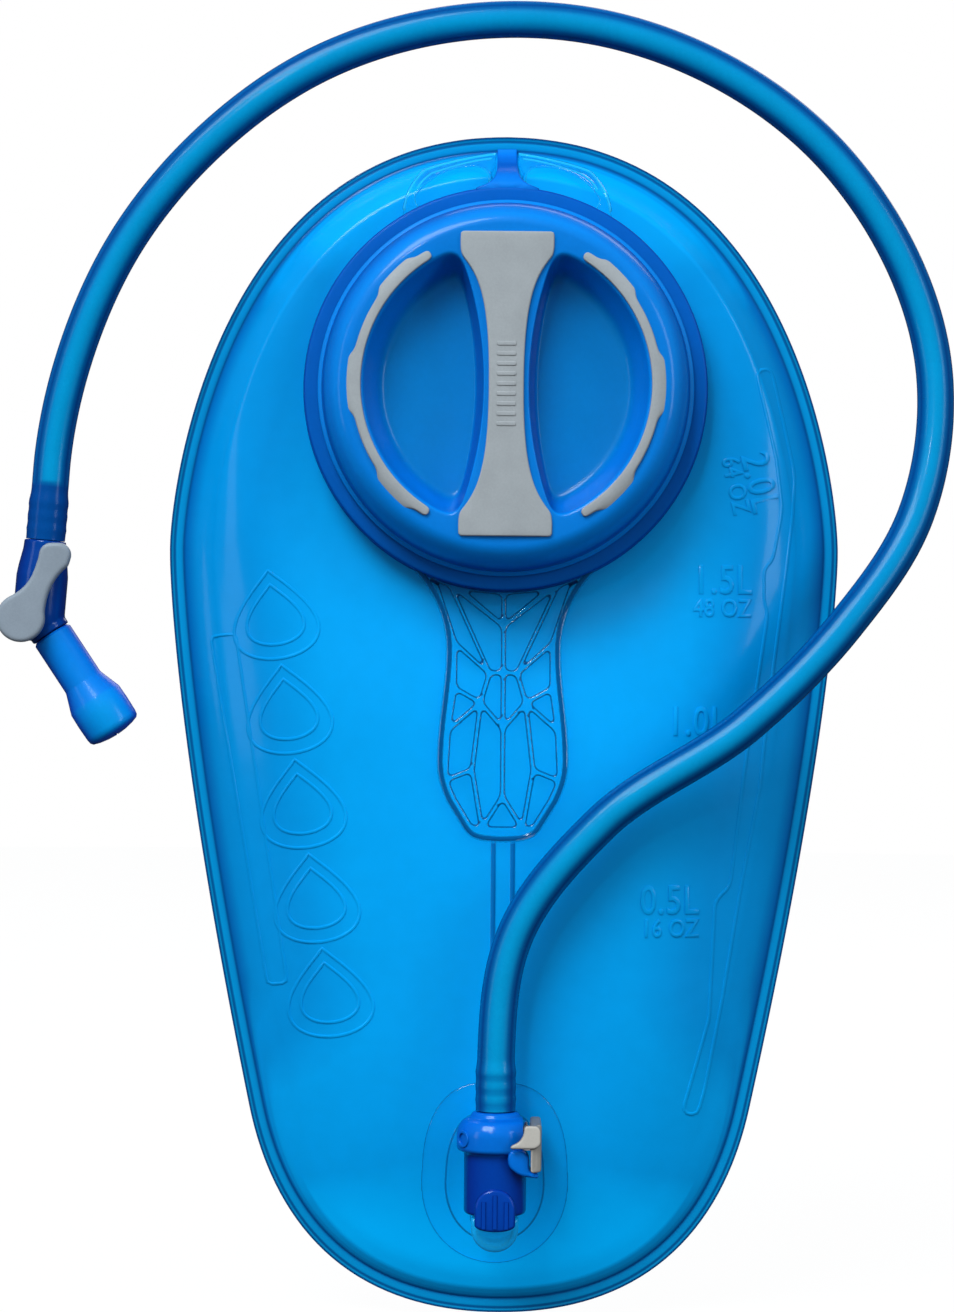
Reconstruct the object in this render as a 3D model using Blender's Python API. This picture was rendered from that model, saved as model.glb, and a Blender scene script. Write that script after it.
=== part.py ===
"""A two-litre hydration bladder with its fill cap, drinking hose and bite valve.

Lengths are millimetres from the rim's lowest point until a mesh is made, which puts
them in metres from BACK_REST, the middle of the flat back. +X is right, +Z is up and
the bladder faces -Y. A height is a distance in front of the rim's plane, so a point at
height h has y = -h. Plan shapes are lists of (x, z) points.
"""

import math

import bmesh
import bpy
import numpy as np
from mathutils import Matrix, Vector
from mathutils.geometry import delaunay_2d_cdt, interpolate_bezier

MM = 0.001
FRONT = Vector((0, -1, 0))
UP = Vector((0, 0, 1))
RIGHT = Vector((1, 0, 0))

# Bladder
BLADDER_HEIGHT = 334.6
HALF_WIDTH = 95.1
WIDEST_Z = 216.6
FLANK = Vector((71.15, 58.3))
FLANK_LEAN = 0.21
FILM = 0.7
FILM_GAP = 0.15
RIM_WIDTH = 4.0
FRONT_BULGE = 18.0
BACK_BULGE = 16.0
FRONT_REACH = 52.0
BACK_REACH = 45.0
BULGE_POWER = 2.2
SPINE_LOW = 95.0
SPINE_HIGH = 240.0
BACK_REST = Vector((0, BACK_BULGE + FILM_GAP + FILM, 150))
BAFFLE_LOW = 95.0
BAFFLE_HIGH = 150.0
BAFFLE_HALF_WIDTH = 4.5

# Fill port
PORT_Z = 261.5
PORT_RISE = 12.0
PORT_SHOULDER = 9.5
PORT_FLAT_RADIUS = 60.0
PORT_FADE = 35.0
FILM_HOLE_RADIUS = 42.0
NECK_BORE = 41.0
NECK_RADIUS = 44.5
FLANGE_RADIUS = 58.0
NECK_BASE = 13.15
NECK_TOP = 30.5
LUG_RADIUS = 47.2
LUG_STARTS = 3
LUG_THICKNESS = 1.9
LUG_GAP = 0.43
THREAD_LEAD = 14.0
NECK_LUG_HEIGHT = 21.5
FRAME_RING_BORE = 47.8
FRAME_BACK = 2.75
FRAME_THICKNESS = 1.75
FRAME_LEAD = 2.0
RIB_HALF_WIDTH = 0.9

# Cap
CAP_BOTTOM = 17.0
CAP_TOP = 38.0
CAP_LUG_BORE = 45.2
SKIRT_BORE = 47.6
CAP_CEILING = 32.5
PLUG_RADIUS = 39.6
PLUG_BOTTOM = 24.0
SHOULDER_RADIUS = 52.5
SKIRT_RADIUS = 52.0
GROOVE_RADIUS = 50.2
GROOVE_GAP = 0.3
POCKET_FLOOR = 27.0
POCKET_FLOOR_RADIUS = 34.6
POCKET_FLOOR_BAR = (8.2, 0.0048)
POCKET_MOUTH_RADIUS = 40.3
POCKET_MOUTH_BAR = (6.1, 0.0052)
GRIP_BASE = 38.3
HANDLE_PAD_THICKNESS = 1.0
HANDLE_PAD_WAIST = 4.8
HANDLE_PAD_END = Vector((12.65, 41.8))
ARC_PAD_THICKNESS = 0.8
ARC_PAD_INNER = 39.3
ARC_PAD_OUTER = 42.5
ARC_PAD_BUMP = 2.6
ARC_PAD_REACH = 59.5
GASKET_INNER = 41.5
GASKET_OUTER = 44.2
GASKET_BACK = 30.8
GASKET_FRONT = 32.2
TETHER_BORE = 50.5
TETHER_RADIUS = 57.0
TETHER_BACK = 18.1
TETHER_FRONT = 21.1
STRAP_HALF_WIDTH = 2.8
STRAP_LOW = 319.5
STRAP_TOP = 331.5

# Exit port and hose connector, on one upright axis
EXIT_X = -1.2
EXIT_HEIGHT = 31.8
ELBOW_Z = 29.5
ELBOW_RADIUS = 6.6
ELBOW_TOP = 32.6
ELBOW_FRONT = 37.2
ELBOW_BORE = 2.3
PAD_THICKNESS = 1.85
SPIGOT_RADIUS = 5.0
SPIGOT_TOP = 55.0
SPIGOT_BORE = 3.4
SEAT_BORE = 2.4
SEAT_Z = 53.5
SPRING_LEDGE_Z = 33.2
BARREL_BOTTOM = 33.1
BARREL_RADIUS = 8.6
COLLAR_BOTTOM = 50.2
COLLAR_RADIUS = 10.7
COLLAR_TOP = 61.3
SOCKET_RADIUS = 5.6
SOCKET_TOP = 55.4
BARB_RADIUS = 2.7
BARB_BORE = 1.9
BARB_LENGTH = 11.6
BUTTON_TRAVEL = 1.6
CONNECTOR_FLAT_X = 6.3
LATCH_Z = 51.4
LATCH_THICKNESS = 1.5
LIP_FRONT = EXIT_HEIGHT + COLLAR_RADIUS + 1.9

# Bite valve end: the elbow's centre, and the directions of its two arms
ELBOW = Vector((-131.6, -6, 197.4))
HOSE_END_AXIS = Vector((0.0796, 0, 0.9968))
SPOUT_AXIS = Vector((0.556, 0, -0.831))
HOSE_END = 21.3

# Hose
HOSE_RADIUS = 5.2
HOSE_BORE = 3.3
HOSE_ROUTE = (
    Vector((-1.2, -31.8, 61.6)),
    Vector((-1.2, -31.8, 68.5)),
    Vector((-1.2, -31.7, 76)),
    Vector((3.5, -29, 109)),
    Vector((27, -27, 140.4)),
    Vector((67.7, -26, 168.5)),
    Vector((95.3, -21, 196.3)),
    Vector((115.9, -12, 227.8)),
    Vector((121.6, -6, 266.6)),
    Vector((95.1, -6, 325.9)),
    Vector((29.6, -6, 364.4)),
    Vector((-55.3, -6, 353.2)),
    Vector((-108.1, -6, 302.9)),
    ELBOW + HOSE_END_AXIS * (HOSE_END + 24),
    ELBOW + HOSE_END_AXIS * (HOSE_END + 15),
    ELBOW + HOSE_END_AXIS * HOSE_END,
)

LEVER_PIVOT = Vector((-135.6, 0, 196.4))
PLUG_BORE = 4.6
PLUG_VALVE_RADIUS = 4.2
FLOW_BORE = 1.9
LEVER_BACK = 13.7
LEVER_FRONT = 16.6

FILM_BLUE = (0.0, 0.33, 0.78)
CAP_BLUE = (0.0, 0.12, 0.62)
DEEP_BLUE = (0.0, 0.05, 0.42)
CLEAR_BLUE = (0.25, 0.6, 0.9)
HOSE_BLUE = (0.01, 0.24, 0.55)
VALVE_BLUE = (0.03, 0.25, 0.78)
GRIP_GREY = (0.42, 0.43, 0.44)
BUTTON_GREY = (0.62, 0.6, 0.57)
LEVER_GREY = (0.5, 0.56, 0.63)
SEAL_BLACK = (0.02, 0.02, 0.02)
STEEL = (0.6, 0.6, 0.6)


def clamp(value):
    return min(1.0, max(0.0, value))


def smooth(value):
    share = clamp(value)
    return share * share * (3 - 2 * share)


def at(x, height, z):
    return Vector((x, -height, z))


def polar(radius, angle, centre=(0.0, PORT_Z)):
    return Vector((centre[0] + radius * math.cos(angle), centre[1] + radius * math.sin(angle)))


def circle(radius, count, centre=(0.0, PORT_Z)):
    return [polar(radius, math.tau * i / count, centre) for i in range(count)]


def arc(radius, first, last, count, centre=(0.0, PORT_Z)):
    return [polar(radius, first + (last - first) * i / count, centre) for i in range(count + 1)]


def mirrored(points):
    """The same points on the other side of x = 0, in reverse order."""
    return [Vector((-p.x, p.y)) for p in reversed(points)]


# ---------------------------------------------------------------- objects


def new_material(name, colour, roughness, metallic, alpha):
    material = bpy.data.materials.new(name)
    material.use_nodes = True
    shader = material.node_tree.nodes["Principled BSDF"]
    shader.inputs["Base Color"].default_value = (*colour, 1)
    shader.inputs["Roughness"].default_value = roughness
    shader.inputs["Metallic"].default_value = metallic
    shader.inputs["Alpha"].default_value = alpha
    material.diffuse_color = (*colour, alpha)
    return material


def mesh_object(name, bm):
    bmesh.ops.remove_doubles(bm, verts=bm.verts, dist=1e-4)
    bmesh.ops.recalc_face_normals(bm, faces=bm.faces)
    bm.transform(Matrix.Scale(MM, 4) @ Matrix.Translation(-BACK_REST))
    mesh = bpy.data.meshes.new(name)
    bm.to_mesh(mesh)
    bm.free()
    obj = bpy.data.objects.new(name, mesh)
    bpy.context.collection.objects.link(obj)
    return obj


def finish(name, bm, colour, roughness=0.35, metallic=0.0, alpha=1.0):
    """One visible piece, smooth except at its sharp edges."""
    obj = mesh_object(name, bm)
    obj.data.shade_smooth()
    obj.data.set_sharp_from_angle(angle=math.radians(35))
    obj.data.materials.append(new_material(name, colour, roughness, metallic, alpha))
    return obj


def combine(target, operation, *shapes):
    """Adds or cuts hidden helper shapes, one Boolean each."""
    for number, shape in enumerate(shapes):
        helper = mesh_object(f"{target.name}.{operation.lower()}{number}", shape)
        helper.hide_render = True
        helper.display_type = "WIRE"
        boolean = target.modifiers.new(helper.name, "BOOLEAN")
        boolean.operation = operation
        boolean.solver = "EXACT"
        boolean.object = helper


def join(target, *shapes):
    combine(target, "UNION", *shapes)


def cut(target, *shapes):
    combine(target, "DIFFERENCE", *shapes)


def pivot(name, place, parent=None):
    """An empty on a joint's axis, which the pieces of a moving body hang from."""
    empty = bpy.data.objects.new(name, None)
    empty.empty_display_size = 0.01
    bpy.context.collection.objects.link(empty)
    empty.location = (place - BACK_REST) * MM
    if parent:
        hang([empty], parent)
    return empty


def hang(pieces, parent):
    bpy.context.view_layer.update()
    for piece in pieces:
        piece.parent = parent
        piece.matrix_parent_inverse = parent.matrix_world.inverted()


# ---------------------------------------------------------------- shapes


def box(low, high):
    bm = bmesh.new()
    bmesh.ops.create_cube(bm, size=1)
    bmesh.ops.scale(bm, vec=high - low, verts=bm.verts)
    bmesh.ops.translate(bm, vec=(low + high) / 2, verts=bm.verts)
    return bm


def turned(profile, base, axis, count=18):
    """Turns a closed (radius, distance along the axis) profile round an axis."""
    bm = bmesh.new()
    place = Matrix.Translation(base) @ UP.rotation_difference(axis).to_matrix().to_4x4()
    rings = []
    for radius, along in profile:
        angles = [math.tau * i / count for i in range(count)] if radius else [0.0] * count
        ring = [Vector((radius * math.cos(a), radius * math.sin(a), along)) for a in angles]
        rings.append([bm.verts.new(place @ p) for p in ring])
    for index, ring in enumerate(rings):
        following = (index + 1) % len(rings)
        if profile[index][0] == 0 and profile[following][0] == 0:
            continue
        skin(bm, ring, rings[following])
    return bm


def skin(bm, ring, other):
    for i in range(len(ring)):
        j = (i + 1) % len(ring)
        bm.faces.new((ring[i], ring[j], other[j], other[i]))


def rod(start, end, radius, count=20):
    length = (end - start).length
    profile = ((0, 0), (radius, 0), (radius, length), (0, length))
    return turned(profile, start, (end - start).normalized(), count)


def loft(loops):
    """Skins a list of equal loops of points, and closes both ends."""
    bm = bmesh.new()
    rings = [[bm.verts.new(p) for p in loop] for loop in loops]
    for ring, other in zip(rings, rings[1:]):
        skin(bm, ring, other)
    bm.faces.new(rings[0])
    bm.faces.new(rings[-1])
    return bm


def prism(outline, back, front):
    """Extrudes a plan outline between two heights."""
    return loft([[at(p.x, height, p.y) for p in outline] for height in (back, front)])


def upright_prism(outline, low, high):
    """Extrudes an outline of (x, height) points between two levels."""
    return loft([[at(p.x, p.y, z) for p in outline] for z in (low, high)])


def swept(path, radius, bore=0.0, sides=12):
    """A round bar along a path, or a pipe when it has a bore."""
    bm = bmesh.new()
    ahead = (path[1] - path[0]).normalized()
    across = ahead.orthogonal().normalized()
    outside = []
    inside = []
    for index, place in enumerate(path):
        before = path[max(index - 1, 0)]
        after = path[min(index + 1, len(path) - 1)]
        turned_ahead = (after - before).normalized()
        across = ahead.rotation_difference(turned_ahead) @ across
        ahead = turned_ahead
        spokes = [Matrix.Rotation(math.tau * i / sides, 3, ahead) @ across for i in range(sides)]
        outside.append([bm.verts.new(place + spoke * radius) for spoke in spokes])
        inside.append([bm.verts.new(place + spoke * bore) for spoke in spokes] if bore else None)
    for ring, other in zip(outside, outside[1:]):
        skin(bm, ring, other)
    if not bore:
        bm.faces.new(outside[0])
        bm.faces.new(outside[-1])
        return bm
    for ring, other in zip(inside, inside[1:]):
        skin(bm, ring, other)
    skin(bm, outside[0], inside[0])
    skin(bm, outside[-1], inside[-1])
    return bm


def coil(base, axis, radius, wire, length, turns):
    place = Matrix.Translation(base) @ UP.rotation_difference(axis).to_matrix().to_4x4()
    steps = 7 * turns
    path = []
    for step in range(steps + 1):
        angle = math.tau * turns * step / steps
        spot = Vector((radius * math.cos(angle), radius * math.sin(angle), length * step / steps))
        path.append(place @ spot)
    return swept(path, wire, sides=4)


def inside_loop(point, loop):
    """Whether a plan point lies inside a closed loop, by counting crossings."""
    crossings = 0
    for a, b in zip(loop, loop[1:] + loop[:1]):
        if (a.y > point.y) != (b.y > point.y):
            if point.x < a.x + (b.x - a.x) * (point.y - a.y) / (b.y - a.y):
                crossings += 1
    return crossings % 2 == 1


def in_plan(point, outline, holes):
    return inside_loop(point, outline) and not any(inside_loop(point, hole) for hole in holes)


def sheet(outline, holes, spots, back, front):
    """A closed solid between two height functions, over a plan outline with holes."""
    points = []
    edges = []
    for loop in (outline, *holes):
        first = len(points)
        points += loop
        edges += [(first + i, first + (i + 1) % len(loop)) for i in range(len(loop))]
    points += [spot for spot in spots if in_plan(spot, outline, holes)]
    plan, _, triangles, *_ = delaunay_2d_cdt(points, edges, [], 0, 1e-5, False)
    kept = [t for t in triangles if in_plan(sum((plan[i] for i in t), Vector((0, 0))) / 3, outline, holes)]
    bm = bmesh.new()
    used = sorted({i for triangle in kept for i in triangle})
    fore = {i: bm.verts.new(at(plan[i].x, front(*plan[i]), plan[i].y)) for i in used}
    rear = {i: bm.verts.new(at(plan[i].x, back(*plan[i]), plan[i].y)) for i in used}
    sides = set()
    for a, b, c in kept:
        bm.faces.new((fore[a], fore[b], fore[c]))
        bm.faces.new((rear[c], rear[b], rear[a]))
        sides |= {(a, b), (b, c), (c, a)}
    for a, b in sorted(sides):
        if (b, a) not in sides:
            bm.faces.new((fore[b], fore[a], rear[a], rear[b]))
    return bm


def inset(loop, distance):
    """Moves each edge of a clockwise or anticlockwise loop inwards."""
    area = sum(a.x * b.y - b.x * a.y for a, b in zip(loop, loop[1:] + loop[:1]))
    side = 1 if area > 0 else -1
    moved = []
    for before, here, after in zip(loop[-1:] + loop[:-1], loop, loop[1:] + loop[:1]):
        first = (here - before).normalized()
        second = (after - here).normalized()
        first_normal = Vector((-first.y, first.x)) * side
        second_normal = Vector((-second.y, second.x)) * side
        middle = (first_normal + second_normal).normalized()
        moved.append(here + middle * distance / max(middle.dot(first_normal), 0.3))
    return moved


# ---------------------------------------------------------------- bladder


def bladder_outline(count):
    """The rim, clockwise from the top: three curves down the right side, then mirrored."""
    top = Vector((0, BLADDER_HEIGHT))
    side = Vector((HALF_WIDTH, WIDEST_Z))
    bottom = Vector((0, 0))
    lean = Vector((math.sin(FLANK_LEAN), math.cos(FLANK_LEAN)))
    right = interpolate_bezier(top, Vector((82, BLADDER_HEIGHT)), side + Vector((0, 19.25)), side, count)
    right += interpolate_bezier(side, side - Vector((0, 11.7)), FLANK + lean * 99.4, FLANK, count)[1:]
    right += interpolate_bezier(FLANK, FLANK - lean * 30, Vector((46.3, 0)), bottom, count)[1:]
    right = [Vector((p[0], p[1])) for p in right]
    return right + mirrored(right[1:-1])


RIM = np.array([tuple(p) for p in bladder_outline(30)])
RIM_STEPS = np.roll(RIM, -1, axis=0) - RIM


def rim_distance(x, z):
    """How far a plan point lies inside the rim."""
    offset = np.array((x, z)) - RIM
    share = np.clip((offset * RIM_STEPS).sum(axis=1) / (RIM_STEPS**2).sum(axis=1), 0, 1)
    return float(np.linalg.norm(offset - RIM_STEPS * share[:, None], axis=1).min())


def bulge(reach):
    return 1 - (1 - clamp(reach)) ** BULGE_POWER


def film_height(x, z, lead=0.0):
    """The front film's middle surface: a dome that flattens round the fill port."""
    inside = rim_distance(x, z) + lead - RIM_WIDTH
    dome = FRONT_BULGE * bulge(inside / FRONT_REACH)
    collar = PORT_RISE * smooth(inside / PORT_SHOULDER)
    from_port = math.hypot(x, z - PORT_Z)
    near_port = 1 - smooth((from_port - PORT_FLAT_RADIUS) / PORT_FADE)
    return dome + (collar - dome) * near_port


def film_front(x, z):
    return film_height(x, z) + FILM_GAP + FILM


def back_height(x, z):
    return -BACK_BULGE * bulge((rim_distance(x, z) - RIM_WIDTH) / BACK_REACH)


def spread(points, gap):
    """The points in order, without any that lie closer than a gap to an earlier one."""
    kept = []
    for point in points:
        if all((point - other).length > gap for other in kept):
            kept.append(point)
    return kept


def rim_rings(outline, distances):
    """Points at set distances inside the rim, towards the bladder's centre line."""
    rings = []
    for level, distance in enumerate(distances):
        for point in outline[:: 1 if level < 3 else 2]:
            spine = Vector((0, min(SPINE_HIGH, max(SPINE_LOW, point.y))))
            rings.append(point + (spine - point).normalized() * distance)
    return rings


def front_film():
    outline = bladder_outline(11)
    around_port = [p for r, n in ((60.5, 32), (72, 26)) for p in circle(r, n)]
    around_port = [p for p in around_port if rim_distance(*p) > 15]
    spots = rim_rings(outline, (4, 8, 13, 20, 30, 43, 58, 78))
    spots = [p for p in spots if (p - Vector((0, PORT_Z))).length > 61 or rim_distance(*p) < 12]
    bm = sheet(
        outline,
        [circle(FILM_HOLE_RADIUS, 40), circle(ELBOW_RADIUS, 16, (EXIT_X, ELBOW_Z))],
        spread(around_port + spots, 5),
        lambda x, z: film_height(x, z) + FILM_GAP,
        film_front,
    )
    return finish("front_film", bm, FILM_BLUE, alpha=0.8)


def back_film():
    outline = bladder_outline(11)
    spots = spread(rim_rings(outline, (4, 10, 19, 31, 49)), 5)
    bm = sheet(
        outline,
        [],
        spots,
        lambda x, z: back_height(x, z) - FILM_GAP - FILM,
        lambda x, z: back_height(x, z) - FILM_GAP,
    )
    return finish("back_film", bm, FILM_BLUE, alpha=0.8)


def centre_baffle():
    """An I-section strip that stands between the two films."""
    front = FRONT_BULGE - 0.15
    back = 0.15 - BACK_BULGE
    half = BAFFLE_HALF_WIDTH
    right = [Vector(p) for p in ((0.4, back + 0.8), (half, back + 0.8), (half, back))]
    right = [Vector((half, front)), Vector((half, front - 0.8)), Vector((0.4, front - 0.8))] + right
    outline = right + mirrored(right)
    return finish("centre_baffle", upright_prism(outline, BAFFLE_LOW, BAFFLE_HIGH), FILM_BLUE)


# ---------------------------------------------------------------- fill port


def thread_lug(inner, outer, base, first, last):
    """A lug that climbs along the thread between two angles."""
    steps = 7
    sections = []
    for step in range(steps + 1):
        angle = first + (last - first) * step / steps
        low = base + THREAD_LEAD * (angle - first) / math.tau
        near = polar(inner, angle)
        far = polar(outer, angle)
        sections.append(
            [
                at(near.x, low, near.y),
                at(far.x, low, far.y),
                at(far.x, low + LUG_THICKNESS, far.y),
                at(near.x, low + LUG_THICKNESS, near.y),
            ]
        )
    return loft(sections)


def thread_lugs(inner, outer, base, first, last):
    """The lugs of every thread start, one shape each."""
    turns = [math.tau * start / LUG_STARTS for start in range(LUG_STARTS)]
    return [thread_lug(inner, outer, base, first + turn, last + turn) for turn in turns]


def fill_neck():
    flange_top = NECK_BASE + 1.3
    profile = (
        (NECK_BORE, NECK_BASE),
        (FLANGE_RADIUS, NECK_BASE),
        (FLANGE_RADIUS, flange_top),
        (NECK_RADIUS, flange_top),
        (NECK_RADIUS, NECK_TOP),
        (NECK_BORE, NECK_TOP),
    )
    neck = finish("fill_neck", turned(profile, at(0, 0, PORT_Z), FRONT, 42), FILM_BLUE)
    join(neck, *thread_lugs(NECK_RADIUS - 1, LUG_RADIUS, NECK_LUG_HEIGHT, 0.0, math.radians(70)))
    return neck


def paddle_edge():
    """The grip paddle's right edge, from the ring down to its middle."""
    top = Vector((36.8, 218.4))
    waist = Vector((15.1, 188.5))
    belly = Vector((17.9, 157.5))
    bottom = Vector((0, 135.9))
    upper = interpolate_bezier(top, Vector((24, 213.5)), waist + Vector((0, 14)), waist, 8)
    middle = interpolate_bezier(waist, waist - Vector((0, 11)), belly + Vector((0, 11)), belly, 6)
    lower = interpolate_bezier(belly, belly - Vector((0, 12)), bottom + Vector((9, 0)), bottom, 8)
    return [Vector((p[0], p[1])) for p in upper + middle[1:] + lower[1:]]


def wing_edge():
    """A wing's right-hand outer edge, from the ring up to the strap."""
    low = Vector((28.9, 311.8))
    corner = Vector((21.8, 324.5))
    high = Vector((3.1, 329.0))
    outer = interpolate_bezier(low, low + Vector((-1.5, 5.5)), corner + Vector((3.2, -2.6)), corner, 5)
    upper = interpolate_bezier(corner, corner + Vector((-4, 2.6)), high + Vector((6, -0.2)), high, 6)
    return [Vector((p[0], p[1])) for p in outer + upper[1:]]


def wing_window():
    """The opening in the right wing."""
    top = interpolate_bezier(
        Vector((24.6, 315.4)), Vector((19.5, 322.5)), Vector((10.5, 325.4)), Vector((6.2, 323.2)), 7
    )
    angles = (math.radians(83.5), math.radians(68))
    return [Vector((p[0], p[1])) for p in top] + arc(FLANGE_RADIUS + 2.0, *angles, 5)


def frame_outline():
    edge = paddle_edge()
    wing = wing_edge()
    paddle_angle = math.atan2(edge[0].y - PORT_Z, edge[0].x)
    wing_angle = math.atan2(wing[0].y - PORT_Z, wing[0].x)
    strap_angle = math.acos(wing[-1].x / FLANGE_RADIUS)
    side = arc(FLANGE_RADIUS, paddle_angle, wing_angle, 22)[1:-1]
    top = [polar(FLANGE_RADIUS, strap_angle), polar(FLANGE_RADIUS, math.pi - strap_angle)]
    right = edge[::-1] + side + wing
    return right + top + mirrored(right)[:-1]


def paddle_cells():
    """The openings between the paddle's ribs, named by the joints that ribs meet at."""
    edge = paddle_edge()
    ring_top = Vector((0, 204.6))
    rib_a = Vector((12.8, 205.9))
    rib_b = Vector((15, 206.6))
    spine_high = Vector((0, 195.2))
    spine_mid = Vector((0, 182.3))
    spine_low = Vector((0, 166.6))
    spine_end = Vector((0, 147.7))
    shoulder = Vector((3.9, 182))
    hip = Vector((6.3, 173.8))
    knee = Vector((8.5, 155))
    foot = Vector((4.4, 139.3))
    sides = [Vector(p) for p in ((13.6, 190.4), (13.6, 177.8), (15.2, 166.1), (15.9, 152.1))]
    right = [
        [ring_top, rib_a, spine_high],
        [spine_high, rib_b, shoulder, spine_mid],
        [rib_b, Vector((23.5, 209.6)), edge[4] - Vector((1.6, 0)), sides[0], shoulder],
        [shoulder, sides[0], sides[1], hip],
        [hip, sides[1], sides[2]],
        [spine_mid, shoulder, hip, spine_low],
        [hip, knee, foot, spine_end, spine_low],
        [hip, sides[2], sides[3], knee],
        [knee, sides[3], Vector((11.5, 142.2)), foot],
    ]
    left = [mirrored(cell) for cell in right]
    middle = [[spine_end, foot, Vector((-foot.x, foot.y))]]
    return [inset(cell, RIB_HALF_WIDTH) for cell in right + left + middle]


def port_frame():
    window = wing_window()
    holes = [circle(FRAME_RING_BORE, 36), window, mirrored(window), *paddle_cells()]
    bm = sheet(
        frame_outline(),
        holes,
        [],
        lambda x, z: film_height(x, z, FRAME_LEAD) + FRAME_BACK,
        lambda x, z: film_height(x, z, FRAME_LEAD) + FRAME_BACK + FRAME_THICKNESS,
    )
    return finish("port_frame", bm, CLEAR_BLUE, roughness=0.1, alpha=0.6)


# ---------------------------------------------------------------- cap


def strap_drop(z):
    """How far the strap has come down from the ring's level to the film's."""
    return smooth((z - FLANGE_RADIUS - PORT_Z - 0.6) / 6)


def tether_height(x, z, ring_level, film_offset):
    along_film = film_height(x, z, 1.0) + film_offset
    return ring_level + (along_film - ring_level) * strap_drop(z)


def cap_tether():
    base_angle = math.acos(STRAP_HALF_WIDTH / TETHER_RADIUS)
    ring = arc(TETHER_RADIUS, math.pi - base_angle, math.tau + base_angle, 60)
    levels = [STRAP_LOW + (STRAP_TOP - STRAP_LOW) * i / 7 for i in range(8)]
    right = [Vector((STRAP_HALF_WIDTH, z)) for z in levels]
    bm = sheet(
        ring + right + mirrored(right),
        [circle(TETHER_BORE, 60)],
        [],
        lambda x, z: tether_height(x, z, TETHER_BACK, 1.3),
        lambda x, z: tether_height(x, z, TETHER_FRONT, 2.9),
    )
    return finish("cap_tether", bm, CAP_BLUE)


def pocket_outline(radius, bar, height):
    """A D-shaped loop: an arc of the cap, and the side of the bar across it."""
    bar_half_width, bar_flare = bar
    corner = 0.94 * radius
    for _ in range(8):
        half_width = bar_half_width + bar_flare * corner**2
        corner = math.sqrt(radius**2 - half_width**2)
    reach = math.asin(corner / radius)
    outline = arc(radius, -reach, reach, 18)
    for step in range(1, 12):
        z = corner * (1 - step / 6)
        outline.append(Vector((bar_half_width + bar_flare * z * z, PORT_Z + z)))
    return [at(p.x, height, p.y) for p in outline]


def finger_pocket(side):
    loops = [
        pocket_outline(POCKET_FLOOR_RADIUS, POCKET_FLOOR_BAR, POCKET_FLOOR),
        pocket_outline(POCKET_MOUTH_RADIUS, POCKET_MOUTH_BAR, CAP_TOP + 1),
    ]
    mirrored_loops = [[Vector((p.x * side, p.y, p.z)) for p in loop] for loop in loops]
    return loft(mirrored_loops)


def cap_shell():
    """A skirt with a groove for the tether, a rounded shoulder and a plug."""
    profile = (
        (0, PLUG_BOTTOM),
        (PLUG_RADIUS, PLUG_BOTTOM),
        (PLUG_RADIUS, CAP_CEILING),
        (SKIRT_BORE, CAP_CEILING),
        (SKIRT_BORE, CAP_BOTTOM),
        (SKIRT_RADIUS, CAP_BOTTOM),
        (SKIRT_RADIUS, TETHER_BACK - GROOVE_GAP),
        (GROOVE_RADIUS, TETHER_BACK - GROOVE_GAP),
        (GROOVE_RADIUS, TETHER_FRONT + GROOVE_GAP),
        (SHOULDER_RADIUS, TETHER_FRONT + GROOVE_GAP),
        (SHOULDER_RADIUS, 25),
        (51.5, 30),
        (48.5, 35),
        (46, 37.6),
        (44.5, CAP_TOP),
        (0, CAP_TOP),
    )
    shell = finish("cap_shell", turned(profile, at(0, 0, PORT_Z), FRONT, 40), CAP_BLUE, roughness=0.25)
    lug_base = NECK_LUG_HEIGHT - LUG_GAP - LUG_THICKNESS + THREAD_LEAD * 10 / 360
    join(
        shell,
        *thread_lugs(CAP_LUG_BORE, SKIRT_BORE + 1, lug_base, math.radians(10), math.radians(60)),
    )
    cut(shell, finger_pocket(1), finger_pocket(-1))
    return shell


def cap_handle_grip():
    """An I-shaped pad along the bar between the finger pockets."""
    waist = Vector((HANDLE_PAD_WAIST, 0))
    rise = interpolate_bezier(waist, Vector((4.6, 28)), Vector((10.6, 32)), HANDLE_PAD_END, 10)
    upper = [Vector((p[0], PORT_Z + p[1])) for p in rise[::-1]]
    lower = [Vector((p[0], PORT_Z - p[1])) for p in rise[1:]]
    right = upper + lower
    bm = prism(right + mirrored(right), GRIP_BASE, GRIP_BASE + HANDLE_PAD_THICKNESS)
    return finish("cap_handle_grip", bm, GRIP_GREY, roughness=0.6)


def arc_bump(angle):
    """The height of the outward bumps at an angle: a wide one in the middle, and one near each end."""
    bumps = [(10.5, 0), (8, 44), (8, -44)]
    return max(smooth((half - abs(angle - middle)) / 2.5 + 0.5) for half, middle in bumps)


def cap_arc_grip(name, side):
    outer = []
    inner = []
    for step in range(29):
        degrees = ARC_PAD_REACH * (step / 14 - 1)
        outer.append(polar(ARC_PAD_OUTER + ARC_PAD_BUMP * arc_bump(degrees), math.radians(degrees)))
        if step % 2 == 0:
            inner.append(polar(ARC_PAD_INNER, math.radians(degrees)))
    outline = [Vector((p.x * side, p.y)) for p in outer + inner[::-1]]
    bm = prism(outline, GRIP_BASE, GRIP_BASE + ARC_PAD_THICKNESS)
    return finish(name, bm, GRIP_GREY, roughness=0.6)


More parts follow.
